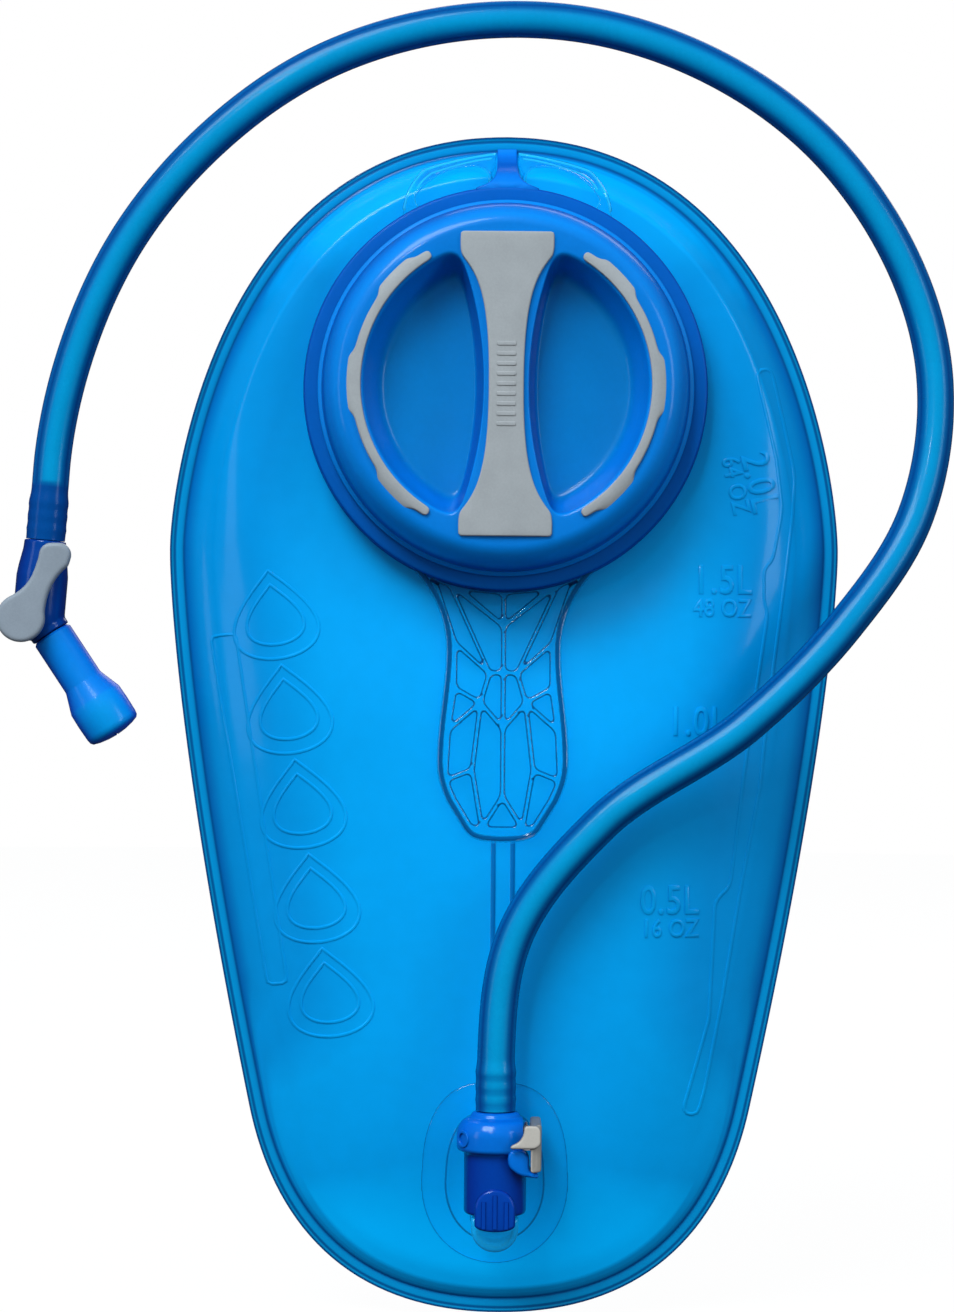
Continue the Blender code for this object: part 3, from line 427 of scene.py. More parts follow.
class Shape:
    """The points and faces of one piece, gathered part by part."""

    def __init__(self):
        self.points = []
        self.faces = []

    def add(self, points, faces):
        first = len(self.points)
        self.points += [tuple(point) for point in points]
        self.faces += [tuple(first + i for i in face) for face in faces]

    def skin(self, loops, joined=False, ends=True):
        """Skins equal closed loops, and closes both ends or joins the last loop to the first."""
        rows = len(loops)
        count = len(loops[0])
        faces = []
        for row in range(rows if joined else rows - 1):
            for i in range(count):
                j = (i + 1) % count
                above = (row + 1) % rows * count
                faces.append((row * count + i, row * count + j, above + j, above + i))
        if ends and not joined:
            faces.append(tuple(range(count))[::-1])
            faces.append(tuple((rows - 1) * count + i for i in range(count)))
        self.add([point for loop in loops for point in loop], faces)

    def fill(self, outline, height, holes=(), spots=()):
        """Covers a plan outline with triangles at a height."""
        points = []
        edges = []
        for loop in (outline, *holes):
            first = len(points)
            points += loop
            edges += [(first + i, first + (i + 1) % len(loop)) for i in range(len(loop))]
        points += [spot for spot in spots if in_plan(spot, outline, holes)]
        plan, _, triangles, *_ = delaunay_2d_cdt(points, edges, [], 0, 1e-5, False)
        middles = [sum((plan[i] for i in face), Vector((0, 0))) / 3 for face in triangles]
        kept = [face for face, middle in zip(triangles, middles) if in_plan(middle, outline, holes)]
        self.add(lifted(plan, height), kept)

    def plate(self, outline, back, front, holes=(), draft=0.0):
        """A plate between two height functions, whose holes widen by the draft towards the front."""
        mouths = [inset(hole, -draft) for hole in holes]
        for low, high in zip((outline, *holes), (outline, *mouths)):
            self.skin([lifted(low, back), lifted(high, front)], ends=False)
        self.fill(outline, back, holes)
        self.fill(outline, front, mouths)

    def pad(self, outline, back, front, edge, spots=()):
        """A plate whose front edge is rounded."""
        steps = 4
        rows = [lifted(outline, back)]
        for step in range(steps + 1):
            angle = math.pi / 2 * step / steps
            loop = inset(outline, edge * (1 - math.cos(angle)))
            drop = edge * (1 - math.sin(angle))
            rows.append(lifted(loop, front, -drop))
        self.skin(rows, ends=False)
        self.fill(outline, back)
        self.fill(loop, front, spots=spots)

    def turned(self, profile, base, axis, count=96):
        """Turns a closed (radius, distance along the axis) profile round an axis."""
        place = along_axis(base, axis)
        loops = []
        for radius, along in profile:
            spots = circle(radius, count, (0.0, 0.0))
            loops.append([place @ Vector((p.x, p.y, along)) for p in spots])
        self.skin(loops, joined=True)

    def swept(self, path, radii, bores=None, sides=36):
        """A round bar along a path, or a pipe when it has bores."""
        ahead = (path[1] - path[0]).normalized()
        across = ahead.orthogonal().normalized()
        outside = []
        inside = []
        for index, place in enumerate(path):
            following = path[min(index + 1, len(path) - 1)] - path[max(index - 1, 0)]
            across = ahead.rotation_difference(following) @ across
            ahead = following.normalized()
            spokes = [Matrix.Rotation(math.tau * i / sides, 3, ahead) @ across for i in range(sides)]
            outside.append([place + spoke * radii[index] for spoke in spokes])
            if bores:
                inside.append([place + spoke * bores[index] for spoke in spokes])
        if bores:
            self.skin(outside + inside[::-1], joined=True)
        else:
            self.skin(outside)

    def bead(self, path, half_width, rise, base, closed=False, sides=8):
        """A rounded ridge along a plan path, lying on a height function."""
        rows = []
        for index, here in enumerate(path):
            last = len(path) - 1
            before = path[index - 1] if closed or index else here
            after = path[(index + 1) % len(path)] if closed or index < last else here
            along = (after - before).normalized()
            side = Vector((-along.y, along.x))
            ring = []
            for step in range(sides):
                angle = math.tau * step / sides
                spot = here + side * half_width * math.cos(angle)
                ring += lifted([spot], base, rise * math.sin(angle))
            rows.append(ring)
        self.skin(rows, joined=closed)


def profile_of(*points, radius=0.5):
    """A turned profile with its corners rounded, except those on the axis."""
    return rounded(points, radius, closed=points[0][0] != 0)


def configure(thing, **settings):
    for name, value in settings.items():
        setattr(thing, name, value)
    return thing


def new_object(name, data):
    obj = bpy.data.objects.new(name, data)
    bpy.context.collection.objects.link(obj)
    return obj


def joined_mesh(name, shape):
    bm = bmesh.new()
    corners = [bm.verts.new(point) for point in shape.points]
    for face in shape.faces:
        bm.faces.new([corners[i] for i in face])
    bmesh.ops.remove_doubles(bm, verts=bm.verts, dist=5e-4)
    bmesh.ops.dissolve_degenerate(bm, edges=bm.edges, dist=1e-5)
    bmesh.ops.recalc_face_normals(bm, faces=bm.faces)
    bm.transform(PLACE)
    mesh = bpy.data.meshes.new(name)
    bm.to_mesh(mesh)
    bm.free()
    return mesh


def evaluated_mesh(obj):
    """The mesh that an object's settings and modifiers make."""
    bpy.context.view_layer.update()
    return bpy.data.meshes.new_from_object(obj.evaluated_get(bpy.context.evaluated_depsgraph_get()))


def settle(obj):
    """Applies an object's modifiers to its mesh."""
    mesh = evaluated_mesh(obj)
    obj.modifiers.clear()
    obj.data = mesh


def moulded(obj, voxel, passes):
    """Melts overlapping parts into one rounded moulding."""
    configure(obj.modifiers.new("moulding", "REMESH"), mode="VOXEL", voxel_size=voxel * MM)
    configure(obj.modifiers.new("soften", "SMOOTH"), factor=0.6, iterations=passes)
    settle(obj)


def cut_with(obj, shape):
    """Cuts a shape out of an object."""
    cutter = new_object("cutter", joined_mesh("cutter", shape))
    boolean = obj.modifiers.new("cut", "BOOLEAN")
    configure(boolean, operation="DIFFERENCE", solver="EXACT", object=cutter)
    settle(obj)
    bpy.data.objects.remove(cutter, do_unlink=True)


def set_tint(obj, rule, name="tint"):
    """Stores a number per point, which the piece's material blends its colours by."""
    mesh = obj.data
    flat = np.empty(len(mesh.vertices) * 3)
    mesh.vertices.foreach_get("co", flat)
    places = (flat.reshape(-1, 3) - np.array(ORIGIN)) / MM
    tint = mesh.attributes.new(name, "FLOAT", "POINT")
    tint.data.foreach_set("value", np.asarray(rule(places[:, 0], -places[:, 1], places[:, 2]), dtype=float))


def piece(name, shape, look, body, nodes=(), mould=None, cutter=None, tint=None):
    """One visible piece that stands for CAD nodes, shaded smooth except at its sharp edges.

    It rides on its body, unless the caller gives None.
    """
    obj = new_object(name, joined_mesh(name, shape))
    if mould:
        moulded(obj, *mould)
    if cutter:
        cut_with(obj, cutter)
    obj.data.shade_smooth()
    obj.data.set_sharp_from_angle(angle=math.radians(MOULDED_SHARP if mould else SHARP))
    obj.data.materials.clear()
    obj.data.materials.append(look)
    set_tint(obj, tint or (lambda x, height, z: np.zeros(len(x))))
    if body:
        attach(obj, body)
    if nodes:
        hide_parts(*nodes)
    return obj


def clear_piece(name, shape, node, voxel, edges, painted_highlight):
    """A clear moulding, with painted dark lines at its edges and painted highlights, each placed by a tint
    rule.
    """
    mould = (voxel, SOFTENING_STEPS)
    obj = piece(name, shape, CLEAR_LOOK, "bladder", [node], mould=mould, tint=edges)
    set_tint(obj, painted_highlight, "painted_highlight")
    obj.visible_shadow = False


# ---- materials


def fit(node, inputs):
    """Gives each named input of a node a value or a colour, or wires it to another output."""
    for name, source in inputs.items():
        if isinstance(source, bpy.types.NodeSocket):
            node.id_data.links.new(source, node.inputs[name])
        else:
            node.inputs[name].default_value = (*source, 1) if isinstance(source, tuple) else source


def add_node(tree, kind, inputs, **settings):
    node = configure(tree.nodes.new("ShaderNode" + kind), **settings)
    fit(node, inputs)
    return node


class Look:
    """A Principled material whose inputs are fitted one at a time."""

    def __init__(self, name, specular):
        self.material = bpy.data.materials.new(name)
        self.material.use_nodes = True
        self.shader = self.material.node_tree.nodes["Principled BSDF"]
        self.place = self.add("TexCoord", {}).outputs["Object"]
        fit(self.shader, {"Specular IOR Level": specular})

    def add(self, kind, inputs, **settings):
        return add_node(self.material.node_tree, kind, inputs, **settings)

    def facing(self):
        return self.add("LayerWeight", {}).outputs["Facing"]

    def tint(self, name="tint"):
        return self.add("Attribute", {}, attribute_name=name).outputs["Fac"]

    def noise(self, size, detail=3.0):
        """Noise between 0 and 1 with patches of about a size in millimetres."""
        inputs = {"Scale": 1 / (size * MM), "Detail": detail, "Vector": self.place}
        return self.add("TexNoise", inputs).outputs["Fac"]

    def ramp(self, driver, stops):
        """A colour that follows a value through (position, colour) stops."""
        node = self.add("ValToRGB", {"Fac": driver})
        elements = node.color_ramp.elements
        while len(elements) < len(stops):
            elements.new(1)
        for element, (position, colour) in zip(elements, stops):
            configure(element, position=position, color=(*colour, 1))
        return node.outputs["Color"]

    def blues(self, driver, stops):
        """A blue that follows a value through (position, green, blue) stops."""
        return self.ramp(driver, [(position, (0.0, green, blue)) for position, green, blue in stops])

    def greys(self, driver, stops):
        """A grey that follows a value through (position, brightness) stops."""
        return self.ramp(driver, [(position, (grey,) * 3) for position, grey in stops])

    def blend(self, first, second, factor, mode="MIX"):
        inputs = {"Factor": factor, COLOUR_A: first, COLOUR_B: second}
        return self.add("Mix", inputs, data_type="RGBA", blend_type=mode).outputs[MIXED_COLOUR]

    def colour(self, source, mottle=0.08, patch=14.0):
        """Sets the base colour, with slow and fine variation over the surface."""
        slow = self.greys(self.noise(patch), [(0.3, 1 - mottle), (0.7, 1)])
        fine = self.greys(self.noise(patch / 12), [(0.35, 1 - mottle / 2), (0.65, 1)])
        varied = self.blend(self.blend(source, slow, 1.0, "MULTIPLY"), fine, 1.0, "MULTIPLY")
        fit(self.shader, {"Base Color": varied})

    def wear(self, low, high, patch=6.0):
        """Roughness that varies between two values."""
        inputs = {"To Min": low, "To Max": high, "Value": self.noise(patch, 4.0)}
        fit(self.shader, {"Roughness": self.add("MapRange", inputs).outputs["Result"]})

    def bump(self, *layers):
        """Relief from (patch size, depth in millimetres) layers of noise."""
        below = {}
        for size, depth in layers:
            inputs = {"Distance": depth * MM, "Height": self.noise(size), **below}
            below = {"Normal": self.add("Bump", inputs).outputs["Normal"]}
        fit(self.shader, below)

    def coat(self, weight, roughness=0.1):
        fit(self.shader, {"Coat Weight": weight, "Coat Roughness": roughness})


def film_look():
    """Glossy blue film: banded at its welded rim, with painted shade deeper near the sides, painted light
    bright in the middle, and a painted glow emitted near its bottom and top.
    """
    look = Look("blue film", specular=0.08)
    # The bands follow the tint: weld bands near the rim, then painted shade near the sides and painted light
    # towards the middle.
    bands = (
        (0.0, 0.045, 0.16), (0.0045, 0.07, 0.24), (0.0075, 0.30, 0.62), (0.0125, 0.06, 0.22),
        (0.0155, 0.10, 0.32), (0.019, 0.30, 0.66), (0.034, 0.27, 0.62), (0.0395, 0.07, 0.26),
        (0.046, 0.14, 0.46), (0.08, 0.27, 0.67), (0.14, 0.31, 0.76), (0.24, 0.30, 0.74),
        (0.42, 0.38, 0.88), (0.8, 0.40, 0.94), (1.0, 0.50, 1.0),
    )
    look.colour(look.blues(look.tint(), bands), mottle=0.05, patch=60.0)
    # A painted glow: the film emits blue where its tint nears 1, as if light came through it.
    through = look.blues(look.tint(), [(0.8, 0.0, 0.0), (1.0, 0.11, 0.30)])
    fit(look.shader, {"Emission Color": through, "Emission Strength": 1.0})
    look.wear(0.16, 0.30, 25.0)
    look.bump((9.0, 0.10), (0.8, 0.006))
    look.coat(0.22)
    return look.material


def glossy_look(name, stops, tinted_stops=None, roughness=(0.16, 0.3), specular=0.1, coat=0.4):
    """Moulded plastic with painted shade that deepens where it turns away from the eye, and a second blue
    where it is tinted.
    """
    look = Look(name, specular)
    # Painted shade: the blue darkens as the surface turns away from the eye.
    colour = look.blues(look.facing(), stops)
    if tinted_stops:
        colour = look.blend(colour, look.blues(look.facing(), tinted_stops), look.tint())
    look.colour(colour, mottle=0.07)
    look.wear(*roughness)
    look.bump((3.0, 0.02), (0.35, 0.008))
    look.coat(coat)
    return look.material


def clear_look():
    """Clear blue plastic: open where it faces the eye, with painted shade where it turns away, painted dark
    lines at its edges and painted highlights.
    """
    look = Look("clear blue plastic", specular=0.3)
    blues = [(0.0, 0.42, 0.92), (0.35, 0.36, 0.82), (0.7, 0.16, 0.5), (1.0, 0.06, 0.26)]
    # Painted shade darkens the blue as it turns away; the tint paints dark lines where refraction would
    # darken the edges.
    painted_dark_edges = look.blend(look.blues(look.facing(), blues), (0.0, 0.035, 0.17), look.tint())
    # Painted highlights: where the second rule is 1, a bright cyan is blended in and the plastic is less
    # open.
    look.colour(look.blend(painted_dark_edges, (0.02, 0.52, 0.92), look.tint("painted_highlight")), mottle=0.05)
    look.wear(0.04, 0.1)
    look.bump((2.0, 0.012), (0.5, 0.004))
    look.coat(1.0, 0.03)
    cover = look.greys(look.facing(), [(0.0, 0.03), (0.35, 0.10), (0.7, 0.4), (1.0, 0.85)])
    cover = look.blend(cover, (0.93,) * 3, look.tint())
    fit(look.shader, {"Alpha": look.blend(cover, (0.8,) * 3, look.tint("painted_highlight"))})
    return look.material


def matt_look(name, colour, roughness=(0.5, 0.7), edge=0.86):
    """Rubber or matt plastic with a fine grain, and painted shade where it turns away, which keeps only a
    share of its brightness.
    """
    look = Look(name, specular=0.2)
    painted_shade_colour = tuple(channel * edge for channel in colour)
    look.colour(look.ramp(look.facing(), [(0.0, colour), (0.7, painted_shade_colour)]), mottle=0.1, patch=8.0)
    look.wear(*roughness, 2.0)
    look.bump((0.5, 0.03), (0.18, 0.015))
    return look.material


def steel_look():
    look = Look("spring steel", specular=0.5)
    fit(look.shader, {"Metallic": 1.0})
    look.colour(look.ramp(look.noise(3.0), [(0.3, (0.5, 0.5, 0.52)), (0.7, (0.66, 0.66, 0.68))]))
    look.wear(0.2, 0.4, 1.0)
    look.bump((0.3, 0.01))
    return look.material


FILM_LOOK = film_look()
# The cap's second blue is painted light, as if it came through the thin floors of the finger pockets.
CAP_LOOK = glossy_look(
    "royal blue cap plastic",
    [(0.0, 0.20, 0.68), (0.3, 0.22, 0.72), (0.6, 0.17, 0.64), (0.9, 0.06, 0.38)],
    [(0.0, 0.21, 0.57), (0.5, 0.16, 0.53), (1.0, 0.08, 0.42)],
    roughness=(0.26, 0.38),
    coat=0.25,
)
# The tether's darker first blue is painted shade for the ring down in the cap's groove; the strap above the
# ring takes the lighter second blue.
TETHER_LOOK = glossy_look(
    "soft blue tether",
    [(0.0, 0.12, 0.50), (0.4, 0.06, 0.38), (1.0, 0.03, 0.26)],
    [(0.0, 0.23, 0.76), (0.4, 0.16, 0.66), (1.0, 0.06, 0.4)],
    roughness=(0.35, 0.5),
    specular=0.05,
    coat=0.05,
)
DEEP_LOOK = glossy_look(
    "deep blue connector plastic",
    [(0.0, 0.055, 0.40), (0.3, 0.035, 0.33), (0.8, 0.015, 0.2)],
    [(0.0, 0.17, 0.70), (0.4, 0.13, 0.62), (0.9, 0.07, 0.45)],
)
VALVE_BODY_LOOK = glossy_look(
    "blue valve plastic",
    [(0.0, 0.055, 0.32), (0.4, 0.03, 0.24), (0.9, 0.012, 0.14)],
)
SILICONE_LOOK = glossy_look(
    "blue silicone",
    [(0.0, 0.23, 0.76), (0.3, 0.18, 0.70), (0.65, 0.08, 0.55), (1.0, 0.05, 0.42)],
    [(0.0, 0.32, 0.80), (0.35, 0.24, 0.78), (0.6, 0.10, 0.62), (1.0, 0.06, 0.48)],
    roughness=(0.28, 0.42),
    coat=0.2,
)
# The hose's first blues are painted light and shade of a translucent tube: a bright middle stripe, dark bands
# beside it, a lighter band and deep edges.
HOSE_LOOK = glossy_look(
    "translucent blue hose",
    [
        (0.0, 0.31, 0.62), (0.08, 0.26, 0.56), (0.20, 0.12, 0.36),
        (0.36, 0.055, 0.24), (0.58, 0.11, 0.36), (0.85, 0.04, 0.2),
    ],
    [(0.0, 0.07, 0.30), (0.4, 0.055, 0.27), (0.8, 0.035, 0.2)],
    roughness=(0.22, 0.32),
    specular=0.06,
    coat=0.14,
)
CLEAR_LOOK = clear_look()
GRIP_LOOK = matt_look("grey grip rubber", (0.40, 0.40, 0.41))
# The button's sides take a deep painted shade as they turn away.
BUTTON_LOOK = matt_look("warm grey button plastic", (0.60, 0.53, 0.47), (0.3, 0.45), edge=0.35)
LEVER_LOOK = matt_look("pale grey lever plastic", (0.30, 0.33, 0.38), (0.28, 0.42))
SEAL_LOOK = matt_look("black seal rubber", (0.02, 0.02, 0.022))
STEEL_LOOK = steel_look()


# ---- bladder


def bladder_outline(count):
    """The rim, clockwise from the top: three curves down the right side, then mirrored."""
    side = Vector((HALF_WIDTH, WIDEST_Z))
    lean = Vector((math.sin(FLANK_LEAN), math.cos(FLANK_LEAN)))
    upper = ((0, BLADDER_HEIGHT), (82, BLADDER_HEIGHT), side + Vector((0, 19.25)), side)
    flank = (side - Vector((0, 11.7)), FLANK + lean * 99.4, FLANK)
    right = curved((*upper, *flank, FLANK - lean * 30, (46.3, 0), (0, 0)), (count, count, count))
    return right + mirrored(right[1:-1])


RIM = np.array([tuple(p) for p in bladder_outline(60)])
RIM_STEPS = np.roll(RIM, -1, axis=0) - RIM


def rim_distances(x, z):
    """How far plan points lie inside the rim."""
    points = np.stack([np.ravel(x), np.ravel(z)], axis=1)
    least = np.full(len(points), np.inf)
    for corner, step in zip(RIM, RIM_STEPS):
        offset = points - corner
        share = np.clip(offset @ step / (step @ step), 0, 1)
        least = np.minimum(least, np.linalg.norm(offset - share[:, None] * step, axis=1))
    return least.reshape(np.shape(x))


def film_plan(innermost):
    """Closed loops of plan points, from the rim to a circle round the fill port."""
    outline = np.array([tuple(p) for p in resampled(bladder_outline(60), 1.0, closed=True)])
    picks = np.linspace(0, len(outline), FILM_AROUND, endpoint=False).astype(int)
    tangents = np.roll(outline, -3, axis=0) - np.roll(outline, 3, axis=0)
    tangents /= np.linalg.norm(tangents, axis=1)[:, None]
    inward = np.stack([tangents[:, 1], -tangents[:, 0]], axis=1)[picks]
    outline = outline[picks]
    rings = [outline + inward * distance for distance in NEAR_RIM]
    centre = np.array((0.0, PORT_Z))
    spokes = rings[-1] - centre
    port = centre + spokes / np.linalg.norm(spokes, axis=1)[:, None] * innermost
    for step in range(1, RINGS_TO_PORT + 1):
        rings.append(mix(rings[len(NEAR_RIM) - 1], port, step / RINGS_TO_PORT))
    return np.array(rings)


def bulge(reach):
    return 1 - (1 - np.clip(reach, 0, 1)) ** BULGE_POWER


def rim_relief(inside):
    """The welded rim's fine beads and grooves."""
    bead = 0.16 * np.exp(-(((inside - 0.35) / 0.3) ** 2))
    groove = -0.14 * np.exp(-(((inside - 1.25) / 0.3) ** 2))
    return bead + groove - 0.12 * np.exp(-(((inside - RIM_WIDTH) / 0.35) ** 2))


def ripple(x, z):
    """Faint unevenness of a filled film."""
    return np.vectorize(lambda a, b: noise.noise(Vector((a, b, 3.0)) / RIPPLE_SIZE))(x, z)


def softened(heights, weights, passes):
    """Evens out a height field laid out as loops, where its weights allow."""
    for _ in range(passes):
        around = (np.roll(heights, 1, axis=1) + np.roll(heights, -1, axis=1)) / 2
        outward = np.concatenate([heights[:1], heights[:-1]])
        inward = np.concatenate([heights[1:], heights[-1:]])
        mean = (around + (outward + inward) / 2) / 2
        heights = heights + (mean - heights) * weights
    return heights


def front_heights(plan):
    x = plan[..., 0]
    z = plan[..., 1]
    rim = rim_distances(x, z)
    inside = rim - RIM_WIDTH
    dome = FRONT_BULGE * bulge(inside / FRONT_REACH)
    collar = PORT_RISE * smooth(inside / PORT_SHOULDER)
    from_port = np.hypot(x, z - PORT_Z)
    near_port = 1 - smooth((from_port - PORT_FLAT_RADIUS) / PORT_FADE)
    heights = dome + (collar - dome) * near_port
    away = smooth((inside - 7) / 12) * smooth((from_port - PORT_FLAT_RADIUS - 2) / 10)
    heights = softened(heights, SOFTENING * away, FRONT_PASSES)
    heights += 0.5 * ripple(x, z) * smooth(inside / 12) * smooth((from_port - PORT_FLAT_RADIUS) / 10)
    return heights + rim_relief(rim)


def back_heights(plan):
    x = plan[..., 0]
    z = plan[..., 1]
    rim = rim_distances(x, z)
    inside = rim - RIM_WIDTH
    heights = -BACK_BULGE * bulge(inside / BACK_REACH)
    heights = softened(heights, SOFTENING * smooth((inside - 12) / 16), BACK_PASSES)
    heights = np.maximum(heights + 0.25 * ripple(x + 300, z) * smooth(inside / 12), -BACK_BULGE)
    return heights - rim_relief(rim)


def loops_at(plan, heights):
    return [[at(x, h, z) for (x, z), h in zip(ring, row)] for ring, row in zip(plan, heights)]


FRONT_PLAN = film_plan(FILM_HOLE_RADIUS)
FRONT_HEIGHTS = front_heights(FRONT_PLAN) + FILM_GAP + FILM


def film_tree():
    surface = Shape()
    surface.skin(loops_at(FRONT_PLAN, FRONT_HEIGHTS), ends=False)
    return BVHTree.FromPolygons(surface.points, surface.faces)


FILM_TREE = film_tree()
PORT_FILM = PORT_RISE + FILM_GAP + FILM


def film_at(x, z):
    """The height of the front film's outer face."""
    hit = FILM_TREE.ray_cast(Vector((x, -100, z)), Vector((0, 1, 0)))[0]
    if hit:
        return -hit.y
    return PORT_FILM if math.hypot(x, z - PORT_Z) < PORT_FLAT_RADIUS else FILM


def over_film(offset):
    return lambda x, z: film_at(x, z) + offset


def add_lettering(shape, words, centre, turn, size):
    """Raised lettering that follows the film."""
    curve = bpy.data.curves.new("mark", "FONT")
    configure(curve, body=words, size=size, align_x="CENTER", align_y="CENTER", space_character=1.05)
    configure(curve, extrude=0.2, bevel_depth=0.16, bevel_resolution=1, resolution_u=3)
    text = new_object("mark", curve)
    mesh = evaluated_mesh(text)
    spin = Matrix.Rotation(math.radians(turn), 2)
    points = []
    for vertex in mesh.vertices:
        spot = Vector(centre) + spin @ Vector((vertex.co.x * LETTER_WIDTH, vertex.co.y))
        points.append(at(spot.x, film_at(spot.x, spot.y) + vertex.co.z - 0.06, spot.y))
    shape.add(points, [tuple(face.vertices) for face in mesh.polygons])
    bpy.data.objects.remove(text, do_unlink=True)
    bpy.data.curves.remove(curve)


def gauge_outline():
    """The stepped outline of the level window along the bladder's right side."""
    corners = (
        (70.5, 268), (75.4, 269), (82.2, 239), (81.7, 228), (74.8, 171), (73, 151), (67.6, 121), (62.9, 91),
        (58.1, 65), (56, 57.4), (51.6, 58.4), (59, 85), (60.3, 118.7), (64.6, 122.1), (68.3, 155),
        (74.5, 199.5), (73.3, 203), (73.2, 212), (75.8, 214.6), (78.5, 229), (76.6, 243),
    )
    return soft_loop(corners, 3.0, 1.6)


def drop_outline(centre, length, width, lean):
    """A water drop, pointed at its upper end."""
    loop = []
    for step in range(48):
        angle = math.tau * step / 48
        along = math.cos(angle) * length / 2
        across = math.sin(angle) * width / 2 * math.sin(angle / 2) ** 1.2
        loop.append(Vector(centre) + Matrix.Rotation(lean, 2) @ Vector((across, along)))
    return resampled(loop, 1.2, closed=True)


def add_ridge(shape, loop, half_width=0.5, rise=0.3):
    shape.bead(loop, half_width, rise, over_film(-RIDGE_SINK), closed=True)


def add_embossing(shape):
    """Volume marks, the level window's outline, a row of drops and the baffle's weld lines."""
    add_ridge(shape, gauge_outline(), half_width=0.55)
    for mark in VOLUME_MARKS:
        add_lettering(shape, *mark)
    bar = ((-83.0, 191.7), (-75.6, 192.5), (-60.2, 94.1), (-66.0, 93.3))
    add_ridge(shape, soft_loop(bar, 1.5, 1.5))
    for share in np.linspace(0, 1, DROPS):
        centre = (mix(-64.6, -48.4, share), mix(198, 92, share))
        for scale in (1.0, 0.68):
            add_ridge(shape, drop_outline(centre, 25 * scale, 33 * scale, DROP_LEAN), rise=0.32)
    for x in WELD_LINES:
        line = [Vector((x, z)) for z in np.linspace(WELD_HIGH, WELD_LOW, 36)]
        shape.bead(line, half_width=0.85, rise=0.42, base=over_film(-RIDGE_SINK))


def film_tint(x, height, z):
    """Distance from the rim, raised towards 1 for a painted glow, as if light came through the bottom and the
    top.
    """
    rim = rim_distances(x, z) / 100
    # Painted light: the glow brightens the film and makes it emit near the bottom and the top.
    glow = np.maximum(smooth((95 - z) / 80), 0.5 * smooth((z - 285) / 30))
    tint = mix(np.minimum(rim, 0.8), 1.0, glow * smooth((rim - 0.045) / 0.03))
    near_weld = np.min([abs(x - line) for line in WELD_LINES], axis=0) < 1
    for index in np.flatnonzero(near_weld & (z > WELD_LOW - 1) & (z < WELD_HIGH) & (height > 0)):
        if height[index] > film_at(x[index], z[index]) + 0.04:
            tint[index] = WELD_TINT
    return tint


def front_film():
    shape = Shape()
    outer = loops_at(FRONT_PLAN[::-1], FRONT_HEIGHTS[::-1])
    shape.skin(outer + loops_at(FRONT_PLAN, FRONT_HEIGHTS - FILM), joined=True)
    add_embossing(shape)
    piece("front_film_skin", shape, FILM_LOOK, "bladder", ["front_film"], tint=film_tint)


def back_film():
    plan = film_plan(0.6)
    heights = back_heights(plan)
    shape = Shape()
    outer = loops_at(plan[::-1], heights[::-1] - FILM_GAP - FILM)
    shape.skin(outer + loops_at(plan, heights - FILM_GAP))
    piece("back_film_skin", shape, FILM_LOOK, "bladder", ["back_film"], tint=film_tint)


# ---- fill port


def thread_lug(shape, inner, outer, base, first, last):
    """A lug that climbs along the thread between two angles, thinner at its ends."""
    steps = 30
    sections = []
    for step in range(steps + 1):
        share = step / steps
        angle = mix(first, last, share)
        thickness = LUG_THICKNESS * (0.35 + 0.65 * smooth(min(share, 1 - share) * 8))
        low = base + THREAD_LEAD * (angle - first) / math.tau + (LUG_THICKNESS - thickness) / 2
        corners = ((inner, 0.0), (outer, 0.22), (outer, 0.78), (inner, 1.0))
        section = []
        for radius, share_up in corners:
            spot = polar(radius, angle)
            section.append(at(spot.x, low + thickness * share_up, spot.y))
        sections.append(section)
    shape.skin(sections)


def thread_lugs(shape, inner, outer, base, first, last):
    for start in range(LUG_STARTS):
        turn = math.tau * start / LUG_STARTS
        thread_lug(shape, inner, outer, base, first + turn, last + turn)


def fill_neck():
    flange_top = NECK_BASE + 1.3
    profile = profile_of(
        (NECK_BORE, NECK_BASE),
        (FLANGE_RADIUS, NECK_BASE),
        (FLANGE_RADIUS, flange_top),
        (NECK_RADIUS, flange_top),
        (NECK_RADIUS, NECK_TOP),
        (NECK_BORE, NECK_TOP),
    )
    shape = Shape()
    shape.turned(profile, at(0, 0, PORT_Z), FRONT, 192)
    thread_lugs(shape, NECK_RADIUS - 0.5, LUG_RADIUS, NECK_LUG_HEIGHT, 0.0, math.radians(70))
    piece("fill_neck_moulding", shape, TETHER_LOOK, "bladder", ["fill_neck"])


def paddle_edge():
    """The grip paddle's right edge, from the ring down to its middle."""
    waist = ((35.4, 219.6), (24, 213.5), (15.1, 202.5), (15.1, 188.5))
    belly = ((15.1, 177.5), (17.4, 168.5), (17.4, 157.5))
    slant = ((17.4, 153.5), (16.4, 150.2), (14.7, 146.6))
    end = bezier((10.4, 139.6), (8.5, 136.7), (7, 136.0), (0, 135.9), 14)
    return curved(waist + belly + slant, (24, 20, 8)) + end


def wing_edge():
    """A wing's right-hand outer edge, from the ring up to the strap."""
    outer = ((28.9, 311.8), (28.5, 316.3), (25.0, 323.3), (22.8, 324.5))
    upper = ((17.8, 326.4), (9.1, 328.5), (3.1, 329.3))
    return rounded(curved(outer + upper, (16, 20)), 1.4, closed=False)


def wing_ridge():
    """A second ridge inside the wing's outer edge."""
    outer = ((25.2, 318.2), (24.4, 320.0), (22.6, 321.9), (21.4, 322.9))
    upper = ((16.8, 324.5), (10.6, 326.9), (4.6, 327.6))
    return curved(outer + upper, (10, 16))


